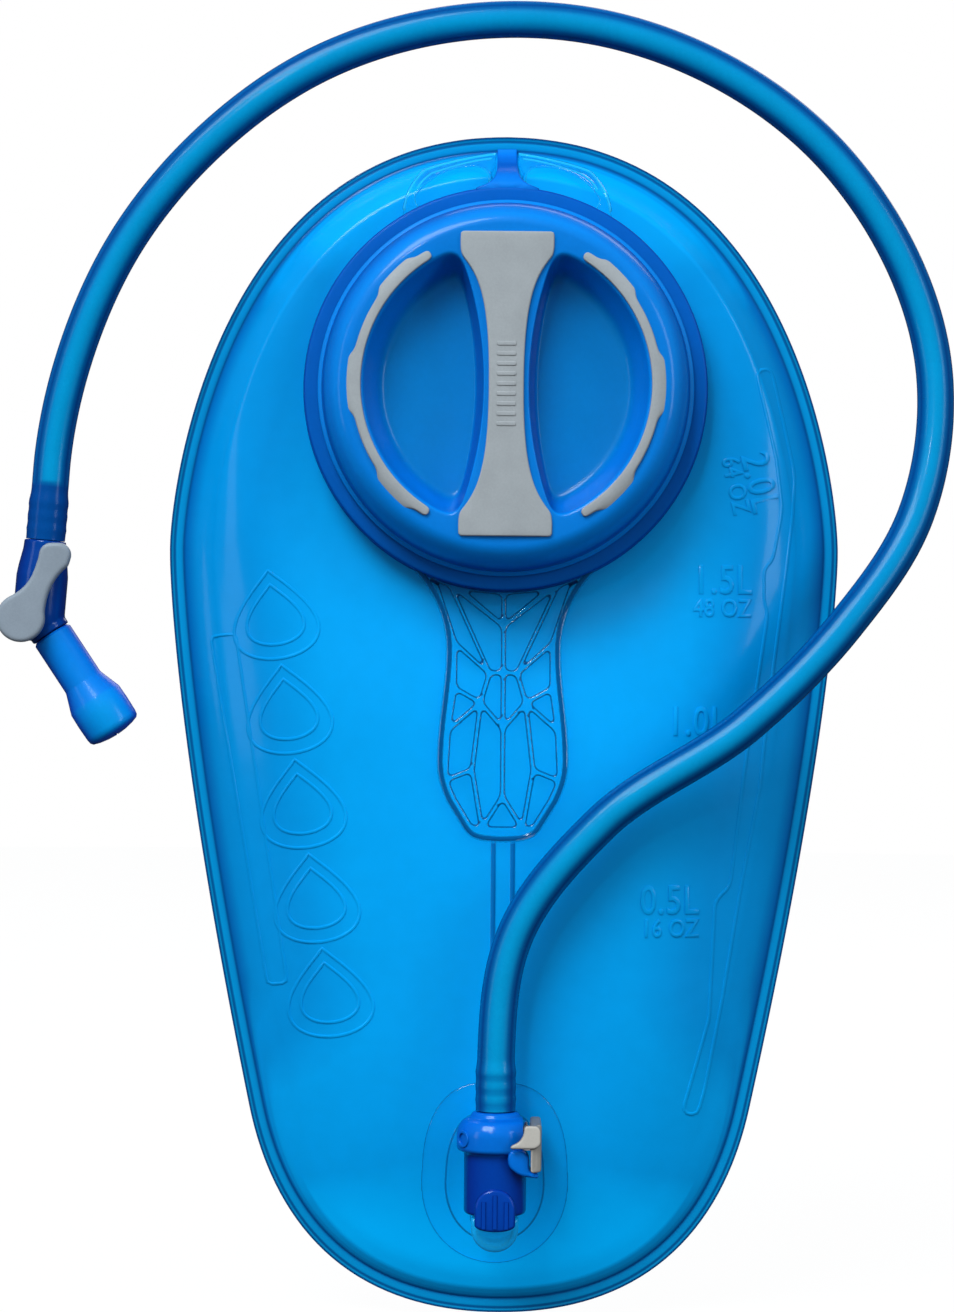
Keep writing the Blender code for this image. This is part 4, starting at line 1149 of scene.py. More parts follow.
def wing_window():
    """The opening in the right wing, whose lower edge lies under the tether."""
    top = bezier((26.0, 315.0), (20.5, 324.0), (11.5, 326.2), (6.6, 323.8), 24)
    lower = arc(WING_ROOT_RADIUS, math.radians(84.5), math.radians(64), 24)
    return relaxed(resampled(top + [Vector((5.4, 321.6))] + lower, 0.5, closed=True), 4)


def frame_outline():
    edge = paddle_edge()
    wing = wing_edge()
    paddle_angle = math.atan2(edge[0].y - PORT_Z, edge[0].x)
    wing_angle = math.atan2(wing[0].y - PORT_Z, wing[0].x)
    strap_angle = math.acos(wing[-1].x / FLANGE_RADIUS)
    side = arc(FLANGE_RADIUS, paddle_angle, wing_angle, 90)[1:-1]
    top = [polar(FLANGE_RADIUS, strap_angle), polar(FLANGE_RADIUS, math.pi - strap_angle)]
    right = edge[::-1] + side + wing
    return right + top + mirrored(right)[:-1]


def paddle_cells():
    """The openings between the paddle's ribs, named by the joints that ribs meet at."""
    edge = paddle_edge()
    ring_top = (0, 204.6)
    rib_a = (12.8, 205.9)
    rib_b = (15, 206.6)
    spine_high = (0, 195.2)
    spine_mid = (0, 182.3)
    spine_low = (0, 166.6)
    spine_end = (0, 147.7)
    shoulder = (3.9, 182)
    hip = (6.3, 173.8)
    knee = (8.5, 155)
    foot = (5.7, 138.6)
    sides = ((13.6, 190.4), (13.6, 177.8), (15.2, 166.1), (15.9, 152.1))
    right = [
        [ring_top, rib_a, spine_high],
        [spine_high, rib_b, shoulder, spine_mid],
        [rib_b, (23.5, 209.6), edge[12] - Vector((1.6, 0)), sides[0], shoulder],
        [shoulder, sides[0], sides[1], hip],
        [hip, sides[1], sides[2]],
        [spine_mid, shoulder, hip, spine_low],
        [hip, knee, foot, spine_end, spine_low],
        [hip, sides[2], sides[3], knee],
        [knee, sides[3], (13.4, 146.6), (8.9, 139.2), foot],
    ]
    left = [mirrored(cell) for cell in right]
    middle = [[spine_end, foot, (-foot[0], foot[1])]]
    return [rounded(inset(cell, RIB_HALF_WIDTH), 1.3) for cell in right + left + middle]


def port_frame():
    """A clear moulding: a ring under the cap, two wings, and a ribbed paddle with a bead round it."""
    shape = Shape()
    window = wing_window()
    front = FRAME_BACK + FRAME_THICKNESS
    holes = [circle(FRAME_RING_BORE, 120), *both_sides(window), *paddle_cells()]
    shape.plate(frame_outline(), over_film(FRAME_BACK), over_film(front), holes, RIB_DRAFT)
    middle = over_film(FRAME_BACK + FRAME_THICKNESS * 0.6)
    paddle = paddle_edge() + mirrored(paddle_edge())[1:]
    shape.bead(resampled(paddle, 1.0), half_width=1.15, rise=1.1, base=middle)
    for edge in both_sides(wing_edge()):
        shape.bead(resampled(edge, 0.8), half_width=0.6, rise=1.1, base=middle)
    for opening in both_sides(window):
        edge = resampled(inset(opening, -0.5), 0.8, closed=True)
        shape.bead(edge, half_width=0.5, rise=1.0, base=middle, closed=True)
    for ridge in both_sides(wing_ridge()):
        shape.bead(resampled(ridge, 0.8), half_width=0.4, rise=0.9, base=middle)
    rims = [inset(cell + cell[:1], -RIB_DRAFT / 2) for cell in paddle_cells()]
    rib_lines = near_lines(rims, reach=0.36)
    edge_line = near_lines([paddle], reach=0.7)
    wings = both_sides(wing_edge()) + both_sides(wing_ridge()) + both_sides(window)
    wing_lines = near_lines(wings, reach=0.28)
    wing_groove = near_lines(both_sides(inset(window, 0.8)), reach=0.25)

    # Painted dark lines along the paddle's ribs and bead, where refraction would darken the clear plastic,
    # and a fainter one just inside each wing window.
    def painted_dark_lines(x, height, z):
        below_cap = smooth((PORT_Z - z) / 4)
        paddle_lines = np.maximum(rib_lines(x, height, z), 0.85 * edge_line(x, height, z)) * below_cap
        return np.maximum(paddle_lines, 0.7 * wing_groove(x, height, z) * (1 - below_cap))

    # Painted highlights along the wings' edges, ridges and windows above the port.
    def painted_highlight_rule(x, height, z):
        return wing_lines(x, height, z) * (z > PORT_Z)

    clear_piece("port_frame_moulding", shape, "port_frame", voxel=0.3, edges=painted_dark_lines, painted_highlight=painted_highlight_rule)


# ---- cap


def strap_drop(z):
    """How far the strap has come down from the ring's level to the film's."""
    return float(smooth((z - FLANGE_RADIUS - PORT_Z + 0.5) / 9))


def tether_height(x, z, ring_level, film_offset):
    return mix(ring_level, film_at(x, z) + film_offset, strap_drop(z))


def strap_half_width(z):
    """Half the strap's width, which flares where it meets the ring."""
    return STRAP_HALF_WIDTH + min(6.0, 2.2 * math.exp(-(z - STRAP_FLARE_Z) / 1.7))


def cap_tether():
    """A flat ring in the cap's groove, with a strap up to the bladder's top edge."""
    shape = Shape()
    profile = profile_of(
        (TETHER_BORE, TETHER_BACK),
        (TETHER_RADIUS, TETHER_BACK),
        (TETHER_RADIUS, TETHER_FRONT),
        (TETHER_BORE, TETHER_FRONT),
        radius=1.1,
    )
    shape.turned(profile, at(0, 0, PORT_Z), FRONT, 192)
    levels = np.linspace(STRAP_LOW, STRAP_TOP, 40)
    right = [Vector((strap_half_width(z), z)) for z in levels]
    outline = rounded(right + mirrored(right), 1.0)
    spots = [Vector((x, z)) for z in levels for x in (-1.4, 0, 1.4)]
    shape.pad(
        outline,
        lambda x, z: tether_height(x, z, TETHER_BACK + 0.3, 0.25),
        lambda x, z: tether_height(x, z, TETHER_FRONT - 0.2, 1.9),
        edge=0.5,
        spots=spots,
    )
    ring_top = PORT_Z + TETHER_RADIUS
    # The strap above the ring takes the lighter blue, while the ring keeps the darker blue of painted shade
    # in the cap's groove.
    tint = above(ring_top - 1, 2)
    tether = piece("cap_tether_moulding", shape, TETHER_LOOK, None, ["cap_tether"], tint=tint)
    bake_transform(tether)


def pocket_outline(radius, bar_half_width, bar_flare):
    """A D-shaped loop: an arc of the cap, and the side of the bar across it."""
    corner = 0.94 * radius
    for _ in range(CORNER_PASSES):
        bar = bar_half_width + bar_flare * corner**2
        corner = math.sqrt(radius**2 - bar**2)
    reach = math.asin(corner / radius)
    outline = arc(radius, -reach, reach, 120)
    for step in range(1, 88):
        z = corner * (1 - step / 44)
        outline.append(Vector((bar_half_width + bar_flare * z * z, PORT_Z + z)))
    return relaxed(outline, 36)


POCKET_MOUTH = pocket_outline(radius=39.7, bar_half_width=6.1, bar_flare=0.0052)
POCKET_BASE = pocket_outline(radius=34.6, bar_half_width=8.2, bar_flare=0.0048)


def pocket_loop(share, side):
    """The pocket's outline part of the way from its mouth to its floor."""
    loop = [mix(a, b, share) for a, b in zip(POCKET_MOUTH, POCKET_BASE)]
    return loop if side > 0 else mirrored(loop)


def add_pocket(shape, side):
    """A finger pocket: a rounded mouth, a sloping wall and a softly filleted floor."""
    lip = ((-0.16, 0), (-0.08, 0.06), (0.0, 0.3), (0.07, 0.85), (0.13, 1.7), (0.3, 4.0), (0.5, 6.1))
    fillet = ((0.68, 8.0), (0.8, 9.15), (0.9, 9.9), (1.02, 10.5), (1.16, 10.85), (1.32, POCKET_DEPTH))
    loops = [lifted(pocket_loop(share, side), CAP_TOP - depth) for share, depth in lip + fillet]
    shape.skin(loops, ends=False)
    shape.fill(pocket_loop(fillet[-1][0], side), CAP_TOP - POCKET_DEPTH)


def cap_profile():
    """The cap's section from the plug's middle, round the skirt and over the shoulder."""
    under = [
        (0, PLUG_BOTTOM),
        (PLUG_RADIUS, PLUG_BOTTOM),
        (PLUG_RADIUS, CAP_CEILING),
        (SKIRT_BORE, CAP_CEILING),
        (SKIRT_BORE, CAP_BOTTOM),
        (52, CAP_BOTTOM),
        (52, TETHER_BACK - 0.3),
        (50.2, TETHER_BACK - 0.3),
        (50.2, TETHER_FRONT + 0.3),
        (RIM_LEDGE_RADIUS, TETHER_FRONT + 0.3),
        (RIM_LEDGE_RADIUS, SHOULDER_BASE - 1.2),
        (SHOULDER_OUTER + 0.1, SHOULDER_BASE - 0.5),
    ]
    shoulder = []
    for step in range(25):
        angle = math.pi / 2 * step / 24
        width = SHOULDER_OUTER - SHOULDER_INNER
        rise = CAP_TOP - SHOULDER_BASE
        shoulder.append((SHOULDER_INNER + width * math.cos(angle), SHOULDER_BASE + rise * math.sin(angle)))
    return rounded(under + shoulder, 0.5, closed=False)


def cap_shell():
    shape = Shape()
    count = 192
    loops = [lifted(circle(max(radius, 0.01), count), height) for radius, height in cap_profile()]
    shape.skin(loops, ends=False)
    mouths = [pocket_loop(-0.16, side) for side in (1, -1)]
    shape.fill(circle(SHOULDER_INNER, count), CAP_TOP, mouths)
    for side in (1, -1):
        add_pocket(shape, side)
    first = math.radians(10)
    lug_base = NECK_LUG_HEIGHT - LUG_GAP - LUG_THICKNESS + THREAD_LEAD * first / math.tau
    thread_lugs(shape, CAP_LUG_BORE, SKIRT_BORE + 1, lug_base, first, math.radians(60))

    # Painted light on the pocket floors, which take the cap's second blue.
    def pocket_floor_light(x, height, z):
        return smooth((31 - height) / 4) * (np.hypot(x, z - PORT_Z) < 37) * (height > 26)

    piece("cap_shell_moulding", shape, CAP_LOOK, "cap", ["cap_shell"], tint=pocket_floor_light)


def handle_crown(x, z):
    """The handle pad's front, which falls away a little towards its sides and ends."""
    return HANDLE_PAD_FRONT - 0.0016 * x * x - 0.0001 * (z - PORT_Z) ** 2


def cap_handle_grip():
    """An I-shaped pad along the bar, with a ladder of raised ribs in its middle."""
    waist = ((HANDLE_PAD_WAIST, 0), (4.7, 25), (8.4, 30))
    rise = curved((*waist, HANDLE_PAD_EAR, (12.8, 35.8), (13.0, 37), HANDLE_PAD_END), (30, 8))
    upper = [Vector((p.x, PORT_Z + p.y)) for p in reversed(rise)]
    lower = [Vector((p.x, PORT_Z - p.y)) for p in rise[1:]]
    outline = soft_loop(upper + lower + mirrored(upper + lower), 1.0, 0.8)
    spots = [Vector((x, PORT_Z + z)) for z in np.linspace(-40, 40, 31) for x in np.linspace(-9, 9, 7)]
    shape = Shape()
    shape.pad(outline, CAP_TOP - 0.1, handle_crown, edge=0.45, spots=spots)
    for z in np.linspace(PORT_Z + 11, PORT_Z - 11, LADDER_RIBS):
        bar = rounded(rectangle(-2.7, 2.7, z - 0.6, z + 0.6), 0.55)
        shape.pad(bar, lambda x, z: handle_crown(x, z) - 0.2, lambda x, z: handle_crown(x, z) + 0.22, 0.2)
    piece("cap_handle_pad", shape, GRIP_LOOK, "cap", ["cap_handle_grip"])


def arc_bump(angle):
    """How far the arc grip's outer edge stands out at an angle: a wide bump, and one near each end."""
    bumps = [(10.5, 0), (8, 44), (8, -44)]
    return max(smooth((half - abs(angle - middle)) / 4.5 + 0.5) for half, middle in bumps)


def cap_arc_grip(name, side, node):
    outer = []
    inner = []
    for degrees in np.linspace(-ARC_PAD_REACH, ARC_PAD_REACH, 160):
        outer.append(polar(ARC_PAD_OUTER + ARC_PAD_BUMP * arc_bump(degrees), math.radians(degrees)))
        inner.append(polar(ARC_PAD_INNER, math.radians(degrees)))
    outline = relaxed(resampled(outer + inner[::-1], 0.5, closed=True), 8)
    spots = arc(ARC_PAD_OUTER - 0.4, math.radians(-58), math.radians(58), 160)
    if side < 0:
        outline = mirrored(outline)
        spots = mirrored(spots)

    def crown(x, z):
        return ARC_PAD_FRONT - 0.55 * max(0.0, math.hypot(x, z - PORT_Z) - ARC_PAD_OUTER + 0.4)

    shape = Shape()
    shape.pad(outline, CAP_TOP - 2.0, crown, edge=0.35, spots=spots)
    piece(name, shape, GRIP_LOOK, "cap", [node])


# ---- exit port


def egg(centre_z, half_height, half_width, count):
    """An oval plan loop that is squarer at its top and a little wider towards its bottom."""
    loop = []
    for step in range(count):
        angle = math.tau * step / count
        across = math.cos(angle)
        up = math.sin(angle)
        power = mix(1.0, 0.7, smooth(up * 3 + 0.5))
        width = half_width * (1 - 0.10 * up)
        x = EXIT_X + math.copysign(abs(across) ** power, across) * width
        z = centre_z + math.copysign(abs(up) ** power, up) * half_height
        loop.append(Vector((x, z)))
    return resampled(loop, 1.2, closed=True)


def exit_port():
    """A clear egg-shaped flange and pad, an elbow pocket, and the spigot that the hose plugs onto."""
    shape = Shape()
    rings = [egg(41.2, 26 * share, 20.4 * share, 40) for share in (0.85, 0.7, 0.55, 0.4, 0.25, 0.1)]
    spots = [spot for ring in rings for spot in ring]
    flange = egg(41.5, half_height=26.3, half_width=20.6, count=96)
    pad = egg(40.8, half_height=18.9, half_width=13.7, count=80)
    shape.pad(flange, over_film(-0.2), over_film(0.7), edge=0.5, spots=spots)
    shape.pad(pad, over_film(0.2), over_film(1.5), edge=0.6, spots=spots)
    lip = egg(40.8, half_height=18.2, half_width=13.0, count=90)
    shape.bead(lip, half_width=0.6, rise=0.5, base=over_film(1.5), closed=True)
    bend = arc(ELBOW_RADIUS, math.pi, math.tau, 30, (EXIT_X, ELBOW_Z))
    bend += [Vector((EXIT_X + ELBOW_RADIUS, ELBOW_TOP)), Vector((EXIT_X - ELBOW_RADIUS, ELBOW_TOP))]
    shape.pad(bend, over_film(0.5), ELBOW_FRONT, edge=1.6)
    spigot = profile_of(
        (0, ELBOW_Z), (SPIGOT_RADIUS, ELBOW_Z),
        (SPIGOT_RADIUS, 38.5), (4.3, 38.5), (4.3, 40.3), (SPIGOT_RADIUS, 40.3),
        (SPIGOT_RADIUS, 50.9), (4.2, 50.9), (4.2, 53.4), (SPIGOT_RADIUS, 53.4),
        (SPIGOT_RADIUS, SPIGOT_TOP), (3.4, SPIGOT_TOP), (3.4, 53.4), (0, 53.4),
        radius=0.25,
    )
    shape.turned(spigot, at(EXIT_X, EXIT_HEIGHT, 0), UP, 64)
    lines = near_lines([flange + flange[:1], pad + pad[:1], bend[:31], inset(bend, 1.7)[1:30]], 0.28)

    # Painted dark lines round the flange, the pad and the elbow, where refraction would darken the clear
    # plastic.
    def painted_dark_edges(x, height, z):
        return 0.8 * lines(x, height, z) * (z < 70)

    # A painted highlight on the front of the elbow and the spigot.
    def painted_highlight_rule(x, height, z):
        return 0.6 * smooth((height - 19) / 2) * (z < 45)

    clear_piece("exit_port_moulding", shape, "exit_port", voxel=0.34, edges=painted_dark_edges, painted_highlight=painted_highlight_rule)


# ---- hose connector


def barb_profile(start, length):
    """The outside of a hose barb: three teeth that lean back from the tip."""
    tooth = length / 3
    profile = []
    for step in range(3):
        low = start + tooth * step
        profile += [(BARB_RADIUS, low), (BARB_RADIUS + 0.15, low + 0.3), (BARB_RADIUS, low + tooth - 0.3)]
    return profile + [(BARB_RADIUS - 0.2, start + length)]


def add_tongue(shape):
    """The ribbed, arch-topped panel that stands in front of the elbow."""
    back = ELBOW_FRONT + 0.6
    arch = arc(5.6, 0, math.pi, 24, (EXIT_X, 35.4))
    foot = [(EXIT_X + x, z) for x, z in ((-5.6, 31), (-5, 28.6), (5, 28.6), (5.6, 31))]
    arch += bezier(*foot, 16)
    shape.pad(arch, back, PANEL_FRONT, edge=0.9)
    for offset in (-3.1, 0, 3.1):
        reach = 2.6 if offset else 4.4
        rib = [Vector((EXIT_X + offset, z)) for z in np.linspace(30.2, 35 + reach, 14)]
        shape.bead(rib, half_width=0.7, rise=0.6, base=PANEL_FRONT - 0.05)


def connector_body():
    shape = Shape()
    profile = profile_of(
        (SOCKET_RADIUS, BARREL_BOTTOM),
        (BARREL_RADIUS, BARREL_BOTTOM),
        (BARREL_RADIUS, COLLAR_BOTTOM),
        (COLLAR_RADIUS, COLLAR_BOTTOM + 0.6),
        (COLLAR_RADIUS, 56.2),
        (9.3, 58.9),
        (7.0, 59.8),
        (6.6, COLLAR_TOP - 0.5),
        (5.8, COLLAR_TOP),
        (BARB_RADIUS, COLLAR_TOP + 0.1),
        *barb_profile(COLLAR_TOP + 0.4, BARB_LENGTH - 0.4),
        (BARB_BORE, COLLAR_TOP + BARB_LENGTH),
        (BARB_BORE, SOCKET_TOP),
        (SOCKET_RADIUS, SOCKET_TOP),
        radius=1.3,
    )
    shape.turned(profile, at(EXIT_X, EXIT_HEIGHT, 0), UP, 128)
    cutter = Shape()
    cutter.plate(rectangle(CONNECTOR_FLAT_X, 12, 45.5, 63), 10, LIP_FRONT)
    nodes = ["connector_body"]
    tint = above(COLLAR_BOTTOM - 0.8, 1.2)
    piece("connector_moulding", shape, DEEP_LOOK, "hose", nodes, cutter=cutter, tint=tint)


def connector_panel():
    """The panel, the boss and the small ring on the connector's front."""
    detail = Shape()
    add_tongue(detail)
    boss = [
        (2.1, 50.2), (3.0, 51.8), (6.6, 51.6), (8.0, 50.0), (8.1, 45.8), (10.6, 45.3),
        (10.6, 44.1), (5.4, 44.8), (2.3, 47.2),
    ]
    detail.pad(soft_loop(boss, 1.8, 0.5), EXIT_HEIGHT, LIP_FRONT - 2.3, edge=0.9)
    ring = profile_of((2.0, 0), (2.4, 0), (2.4, 1.1), (1.5, 1.1), (1.5, 0.2), radius=0.2)
    out = (FRONT * 0.62 - RIGHT * 0.78).normalized()
    detail.turned(ring, at(EXIT_X - 8.3, EXIT_HEIGHT + 5.6, 54.4), out, 32)
    piece("connector_panel", detail, DEEP_LOOK, "hose", tint=above(43, 2))


def wall_front(x, z):
    """The front of the button's side wall, which falls away to the right."""
    return LIP_FRONT - 0.7 - 2.6 * clamp((x - 8.9) / 2.5)


def flange_back(x, z):
    """The back of the wall's front flange, just clear of the panel behind it."""
    return min(LIP_FRONT - 1.45, wall_front(x, z) - 0.8)


def release_button():
    """A side wall to press, and an L-shaped front face."""
    face = [
        (6.6, 58.9), (10.3, 58.9), (11.2, 57.6), (11.2, 53.6), (9.6, 52.5),
        (2.8, 52.5), (2.9, 53.3), (5.3, 54.5), (6.4, 56.4),
    ]
    shape = Shape()
    shape.pad(soft_loop(face, 0.9, 0.4), LIP_FRONT - 1.5, LIP_FRONT, edge=0.55)
    walls = ((45.9, 58.9, 8.4, flange_back), (45.9, 53.5, 9.9, 24), (52.6, 58.9, 8.4, 24))
    for low, high, left, back in walls:
        wall = soft_loop(rectangle(left, 11.4, low, high), 0.8, 0.4)
        shape.pad(wall, back, wall_front, edge=0.3)
    nodes = ["release_button"]
    mould = (0.22, SOFTENING_STEPS)
    piece("release_button_moulding", shape, BUTTON_LOOK, "button", nodes, mould=mould)


def button_latch():
    """The plate inside the button, whose long eye goes round the spigot."""
    latch = Shape()
    plate = arc(6.6, math.pi / 2, 1.5 * math.pi, 40, (EXIT_X, EXIT_HEIGHT))
    plate += [Vector((9.6, EXIT_HEIGHT - 6.6)), Vector((9.6, EXIT_HEIGHT + 6.6))]
    eye = arc(5.35, math.pi / 2, 1.5 * math.pi, 30, (EXIT_X, EXIT_HEIGHT))
    eye += arc(5.35, -math.pi / 2, math.pi / 2, 30, (EXIT_X + BUTTON_TRAVEL, EXIT_HEIGHT))
    levels = (LATCH_Z, LATCH_Z + LATCH_THICKNESS)
    for loop in (plate, eye):
        latch.skin([[at(p.x, p.y, z) for p in loop] for z in levels], ends=False)
    cover = Shape()
    cover.fill(plate, 0, [eye])
    for z in levels:
        latch.add([at(x, depth, z) for x, _, depth in cover.points], cover.faces)
    piece("release_button_latch", latch, BUTTON_LOOK, "button")


# ---- hose


def hose_path(gap):
    """A smooth curve through the route's points, whose handles lean with the nearer neighbour."""
    path = []
    gaps = [after - before for before, after in zip(HOSE_ROUTE, HOSE_ROUTE[1:])]
    tangents = [gaps[0].normalized()]
    for before, after in zip(gaps, gaps[1:]):
        tangents.append((before / before.length**2 + after / after.length**2).normalized())
    tangents.append(gaps[-1].normalized())
    for start, end, out, into in zip(HOSE_ROUTE, HOSE_ROUTE[1:], tangents, tangents[1:]):
        reach = (end - start).length / 3
        first = start + out * reach
        second = end - into * reach
        count = max(6, round((end - start).length / gap))
        path += bezier(start, first, second, end, count + 1)[:-1]
    return path + [HOSE_ROUTE[-1]]


def hose_tint(x, height, z):
    """Deep where the valve's barb fills the bore, and banded where the connector's barb does."""
    valve_end = HOSE_ROUTE[-1]
    over_valve = 1 - smooth((np.hypot(x - valve_end.x, z - valve_end.z) - 15.5) / 1.5)
    over_connector = smooth((COLLAR_TOP + BARB_LENGTH - z) / 1.0) * (abs(x - EXIT_X) < 8)
    bands = 0.55 - 0.45 * np.cos((z - COLLAR_TOP) / BARB_LENGTH * 3 * math.tau)
    return np.maximum(over_valve, 0.4 * over_connector * bands)


def drinking_tube():
    """The hose, stretched a little over the barb at each end."""
    path = hose_path(1.0)
    lengths = np.cumsum([0.0] + [(b - a).length for a, b in zip(path, path[1:])])
    whole = lengths[-1]
    radii = []
    for length in lengths:
        ends = min(length, whole - length)
        swell = 0.3 * (1 - smooth((ends - 11) / 3))
        rings = 0.16 * sum(math.exp(-(((ends - place) / 0.8) ** 2)) for place in (3.0, 6.6, 10.4))
        radii.append(HOSE_RADIUS + float(swell) + rings)
    shape = Shape()
    shape.swept(path, radii, [HOSE_BORE] * len(path), sides=48)
    piece("drinking_hose", shape, HOSE_LOOK, "hose", ["drinking_tube"], tint=hose_tint)


# ---- bite valve


def valve_body():
    """An elbow with a barb up into the hose, a spout, and a round housing for the plug."""
    shape = Shape()
    profile = [
        (0, -7.6), (2.4, -7.3), (4.6, -6.3), (6.3, -4.4), (7.1, -2.2), (7.3, 0),
        (7.3, 11), (6.9, 14), (6.4, 16.6), (6.0, 18.8), (5.9, 21.15),
        *barb_profile(21.15, BARB_LENGTH - 0.35), (0, 20.8 + BARB_LENGTH),
    ]
    shape.turned(profile, ELBOW, HOSE_END_AXIS, 72)
    spout = ((0, 0), (5.8, 0), (5.8, 6.3), (4.1, 6.3), (4.1, 16.5), (4.3, 17), (3.9, 20), (0, 20))
    shape.turned(spout, ELBOW, SPOUT_AXIS, 64)
    hub = at(LEVER_PIVOT.x, 0, LEVER_PIVOT.z)
    housing = profile_of((0, -1.2), (6.4, -1.2), (6.4, 12.9), (4.7, 12.9), (4.7, 12.0), (0, 12.0), radius=0.7)
    shape.turned(housing, hub, FRONT, 72)
    nodes = ["valve_body"]
    piece("valve_body_moulding", shape, VALVE_BODY_LOOK, "valve", nodes, mould=(0.36, 5))


def valve_lever():
    """A round hub with an arm that runs up beside the hose end to a rounded tip."""
    hub = (LEVER_PIVOT.x, LEVER_PIVOT.z)
    outline = arc(LEVER_HUB, math.radians(122), math.radians(370), 60, hub)
    right = polar(LEVER_HUB, math.radians(12), hub)
    outline += bezier(right, (-128.6, 202.4), (-127.0, 207.6), (-122.4, 211.0), 14)
    outline += arc(3.4, math.radians(-20), math.radians(85), 14, (-125.0, 214.2))
    outline += arc(3.4, math.radians(95), math.radians(165), 10, (-127.2, 214.2))
    left = polar(LEVER_HUB, math.radians(120), hub)
    outline += bezier((-130.8, 213.2), (-132.2, 209.4), (-132.6, 205.4), left, 14)

    def crown(x, z):
        from_hub = math.hypot(x - hub[0], z - hub[1]) - 7
        return LEVER_FRONT - 0.35 * clamp(from_hub / 8)

    spots = [polar(radius, math.tau * i / 12, hub) for radius in (2, 4) for i in range(12)]
    shape = Shape()
    shape.pad(soft_loop(outline, 1.0, 0.7), LEVER_BACK, crown, edge=1.1, spots=spots)
    piece("valve_lever_moulding", shape, LEVER_LOOK, "lever", ["valve_lever"], mould=(0.25, 5))


def bite_valve():
    """A soft sleeve over the spout that flares into a hollow mouthpiece with a slit."""
    sleeve = [(4.6, 6.6), (5.2, 6.6), (5.8, 7.2), (5.8, 14), (5.8, 22.6), (5.95, 23.3)]
    flare = [(7.7, 28.2), (8.0, 29.1), (8.1, 33), (8.0, 37.4), (7.8, 38.6), (7.2, 39.3)]
    tip = [(5.4, 39.9), (3, 40.35), (0, 40.6)]
    hollow = [(0, 38.8), (3.2, 38.5), (6.2, 37.4), (6.2, 29.6), (4.6, 22.5)]
    shape = Shape()
    shape.turned(sleeve + flare + tip + hollow, ELBOW, SPOUT_AXIS, 96)
    slit = Shape()
    corners = rectangle(-0.35, 0.35, -4.5, 4.5)
    place = along_axis(ELBOW, SPOUT_AXIS)
    slit.skin([[place @ Vector((corner.x, corner.y, z)) for corner in corners] for z in (36, 43)])
    mouth = ELBOW + SPOUT_AXIS * 29

    def past_flare(x, height, z):
        along = (x - mouth.x) * SPOUT_AXIS.x + (z - mouth.z) * SPOUT_AXIS.z
        return smooth(along / 1.0 + 0.5)

    name = "mouthpiece"
    piece("bite_valve_sleeve", shape, SILICONE_LOOK, name, ["bite_valve"], cutter=slit, tint=past_flare)


def finish_inner_parts():
    """Materials for the CAD pieces that show as they are: seals, springs and inner plastic."""
    looks = {
        "centre_baffle": FILM_LOOK,
        "cap_gasket": GRIP_LOOK,
        "spigot_o_ring": SEAL_LOOK,
        "exit_valve_seal": SEAL_LOOK,
        "barrel_o_ring_front": SEAL_LOOK,
        "barrel_o_ring_back": SEAL_LOOK,
        "exit_valve_spring": STEEL_LOOK,
        "button_spring": STEEL_LOOK,
        "exit_valve_poppet": DEEP_LOOK,
        "valve_barrel": DEEP_LOOK,
    }
    for node, material in looks.items():
        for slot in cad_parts[node].material_slots:
            slot.material = material


# ---- studio


def pale_floor():
    """A round floor that the camera sees almost white."""
    material = bpy.data.materials.new("pale floor")
    material.use_nodes = True
    tree = material.node_tree
    matt = tree.nodes["Principled BSDF"]
    fit(matt, {"Base Color": (0.93, 0.94, 0.95), "Roughness": 0.9})
    glow = add_node(tree, "Emission", {"Color": (1, 1, 1)})
    seen = add_node(tree, "LightPath", {}).outputs["Is Camera Ray"]
    share = add_node(tree, "Math", {0: seen, 1: FLOOR_GLOW}, operation="MULTIPLY")
    blend = add_node(tree, "MixShader", {"Fac": share.outputs[0], 1: matt.outputs[0], 2: glow.outputs[0]})
    fit(tree.nodes["Material Output"], {"Surface": blend.outputs[0]})
    bm = bmesh.new()
    bmesh.ops.create_circle(bm, cap_ends=True, segments=96, radius=FLOOR_RADIUS)
    mesh = bpy.data.meshes.new("floor")
    bm.to_mesh(mesh)
    bm.free()
    mesh.materials.append(material)
    floor = configure(new_object("floor", mesh), visible_glossy=False, visible_diffuse=False)
    floor.location.z = cad_bounds[0][2] - FLOOR_GAP


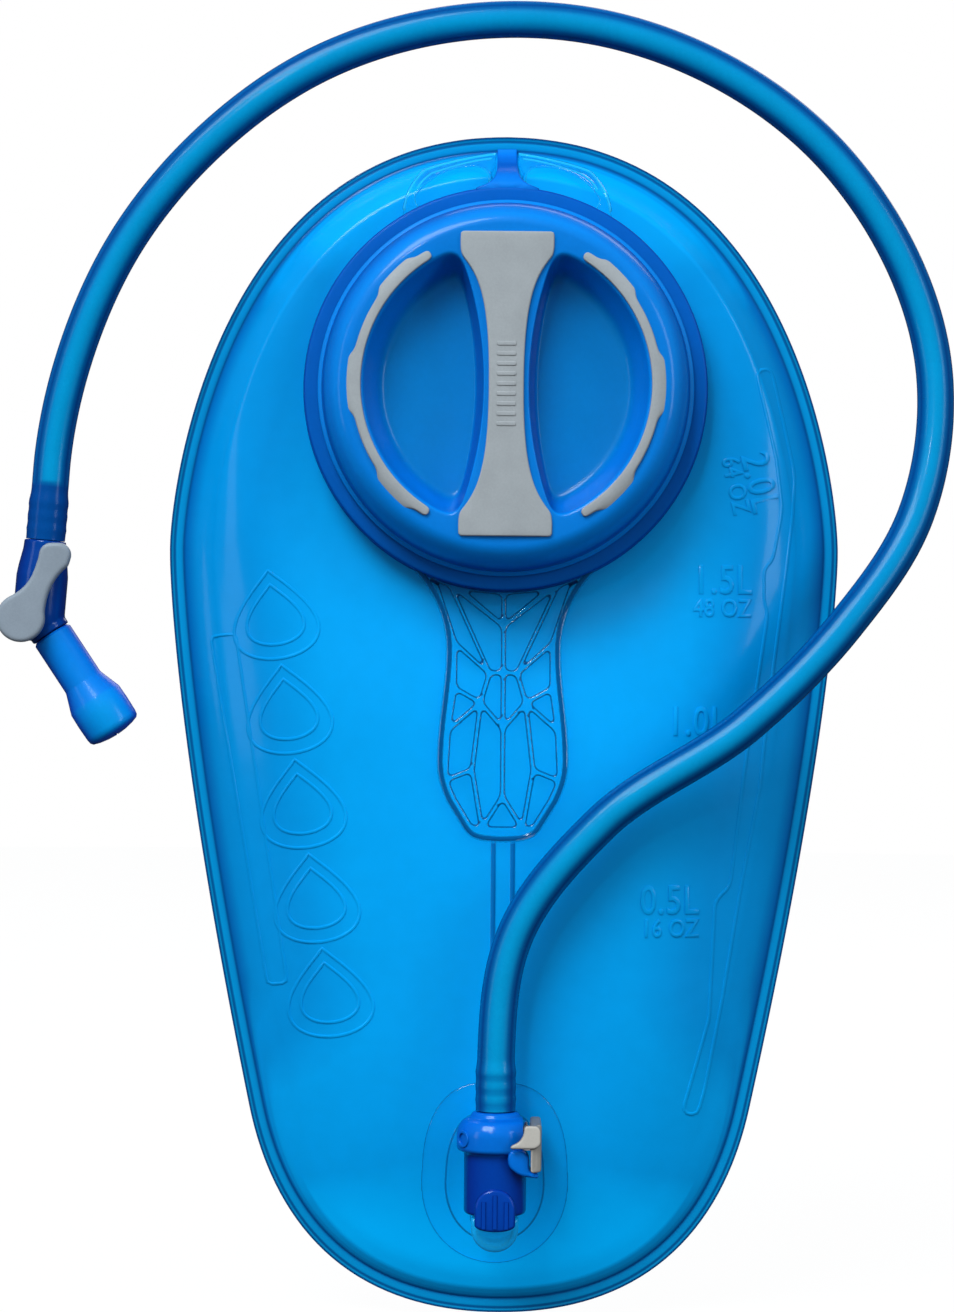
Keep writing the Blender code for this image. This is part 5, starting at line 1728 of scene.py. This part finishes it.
def white_room():
    """A white backdrop for the camera, and a softer sky for the object's light and reflections."""
    world = bpy.data.worlds.new("studio")
    world.use_nodes = True
    tree = world.node_tree
    direction = add_node(tree, "TexCoord", {}).outputs["Generated"]
    height = add_node(tree, "SeparateXYZ", {0: direction}).outputs["Z"]
    limits = {"From Min": -0.7, "From Max": 0.7, "To Min": SKY_BELOW, "To Max": SKY_ABOVE}
    strength = add_node(tree, "MapRange", {"Value": height, **limits}).outputs[0]
    sky = tree.nodes["Background"]
    fit(sky, {"Color": SKY_COLOUR, "Strength": strength})
    mirror_inputs = {"Color": MIRRORED_SKY_COLOUR, "Strength": MIRRORED_SKY_STRENGTH}
    mirrored_sky = add_node(tree, "Background", mirror_inputs)
    backdrop = add_node(tree, "Background", {"Color": (1, 1, 1)})
    rays = add_node(tree, "LightPath", {}).outputs
    below = sky.outputs[0]
    for ray, shader in (("Is Glossy Ray", mirrored_sky), ("Is Camera Ray", backdrop)):
        blend = add_node(tree, "MixShader", {"Fac": rays[ray], 1: below, 2: shader.outputs[0]})
        below = blend.outputs[0]
    fit(tree.nodes["World Output"], {"Surface": below})
    bpy.context.scene.world = world


def soft_box(name, place, size, power, colour):
    """A rectangular lamp that points at the object's middle."""
    lamp = configure(bpy.data.lights.new(name, "AREA"), shape="RECTANGLE", energy=power, color=colour)
    lamp.size, lamp.size_y = size
    obj = configure(new_object(name, lamp), location=place)
    middle = PLACE @ Vector((0, 0, LIT_HEIGHT))
    obj.rotation_euler = (middle - obj.location).to_track_quat("-Z", "Y").to_euler()


def add_camera():
    """A level camera in front of the object, that sees a set height at the rim's plane."""
    camera = configure(bpy.data.cameras.new("camera"), sensor_width=SENSOR, clip_end=20)
    camera.lens = SENSOR * (ORIGIN - CAMERA_PLACE).y / MM / SEEN_HEIGHT
    view = configure(new_object("camera", camera), location=CAMERA_PLACE)
    view.rotation_euler = (math.pi / 2, CAMERA_ROLL, 0)
    bpy.context.scene.camera = view


def studio():
    bpy.context.scene.view_settings.view_transform = "Standard"
    pale_floor()
    white_room()
    for lamp in LAMPS:
        soft_box(*lamp)
    add_camera()


front_film()
back_film()
fill_neck()
port_frame()
exit_port()
cap_tether()
cap_shell()
cap_handle_grip()
cap_arc_grip("cap_arc_pad_left", -1, "cap_arc_grip_left")
cap_arc_grip("cap_arc_pad_right", 1, "cap_arc_grip_right")
connector_body()
connector_panel()
release_button()
button_latch()
drinking_tube()
valve_body()
valve_lever()
bite_valve()
finish_inner_parts()
studio()
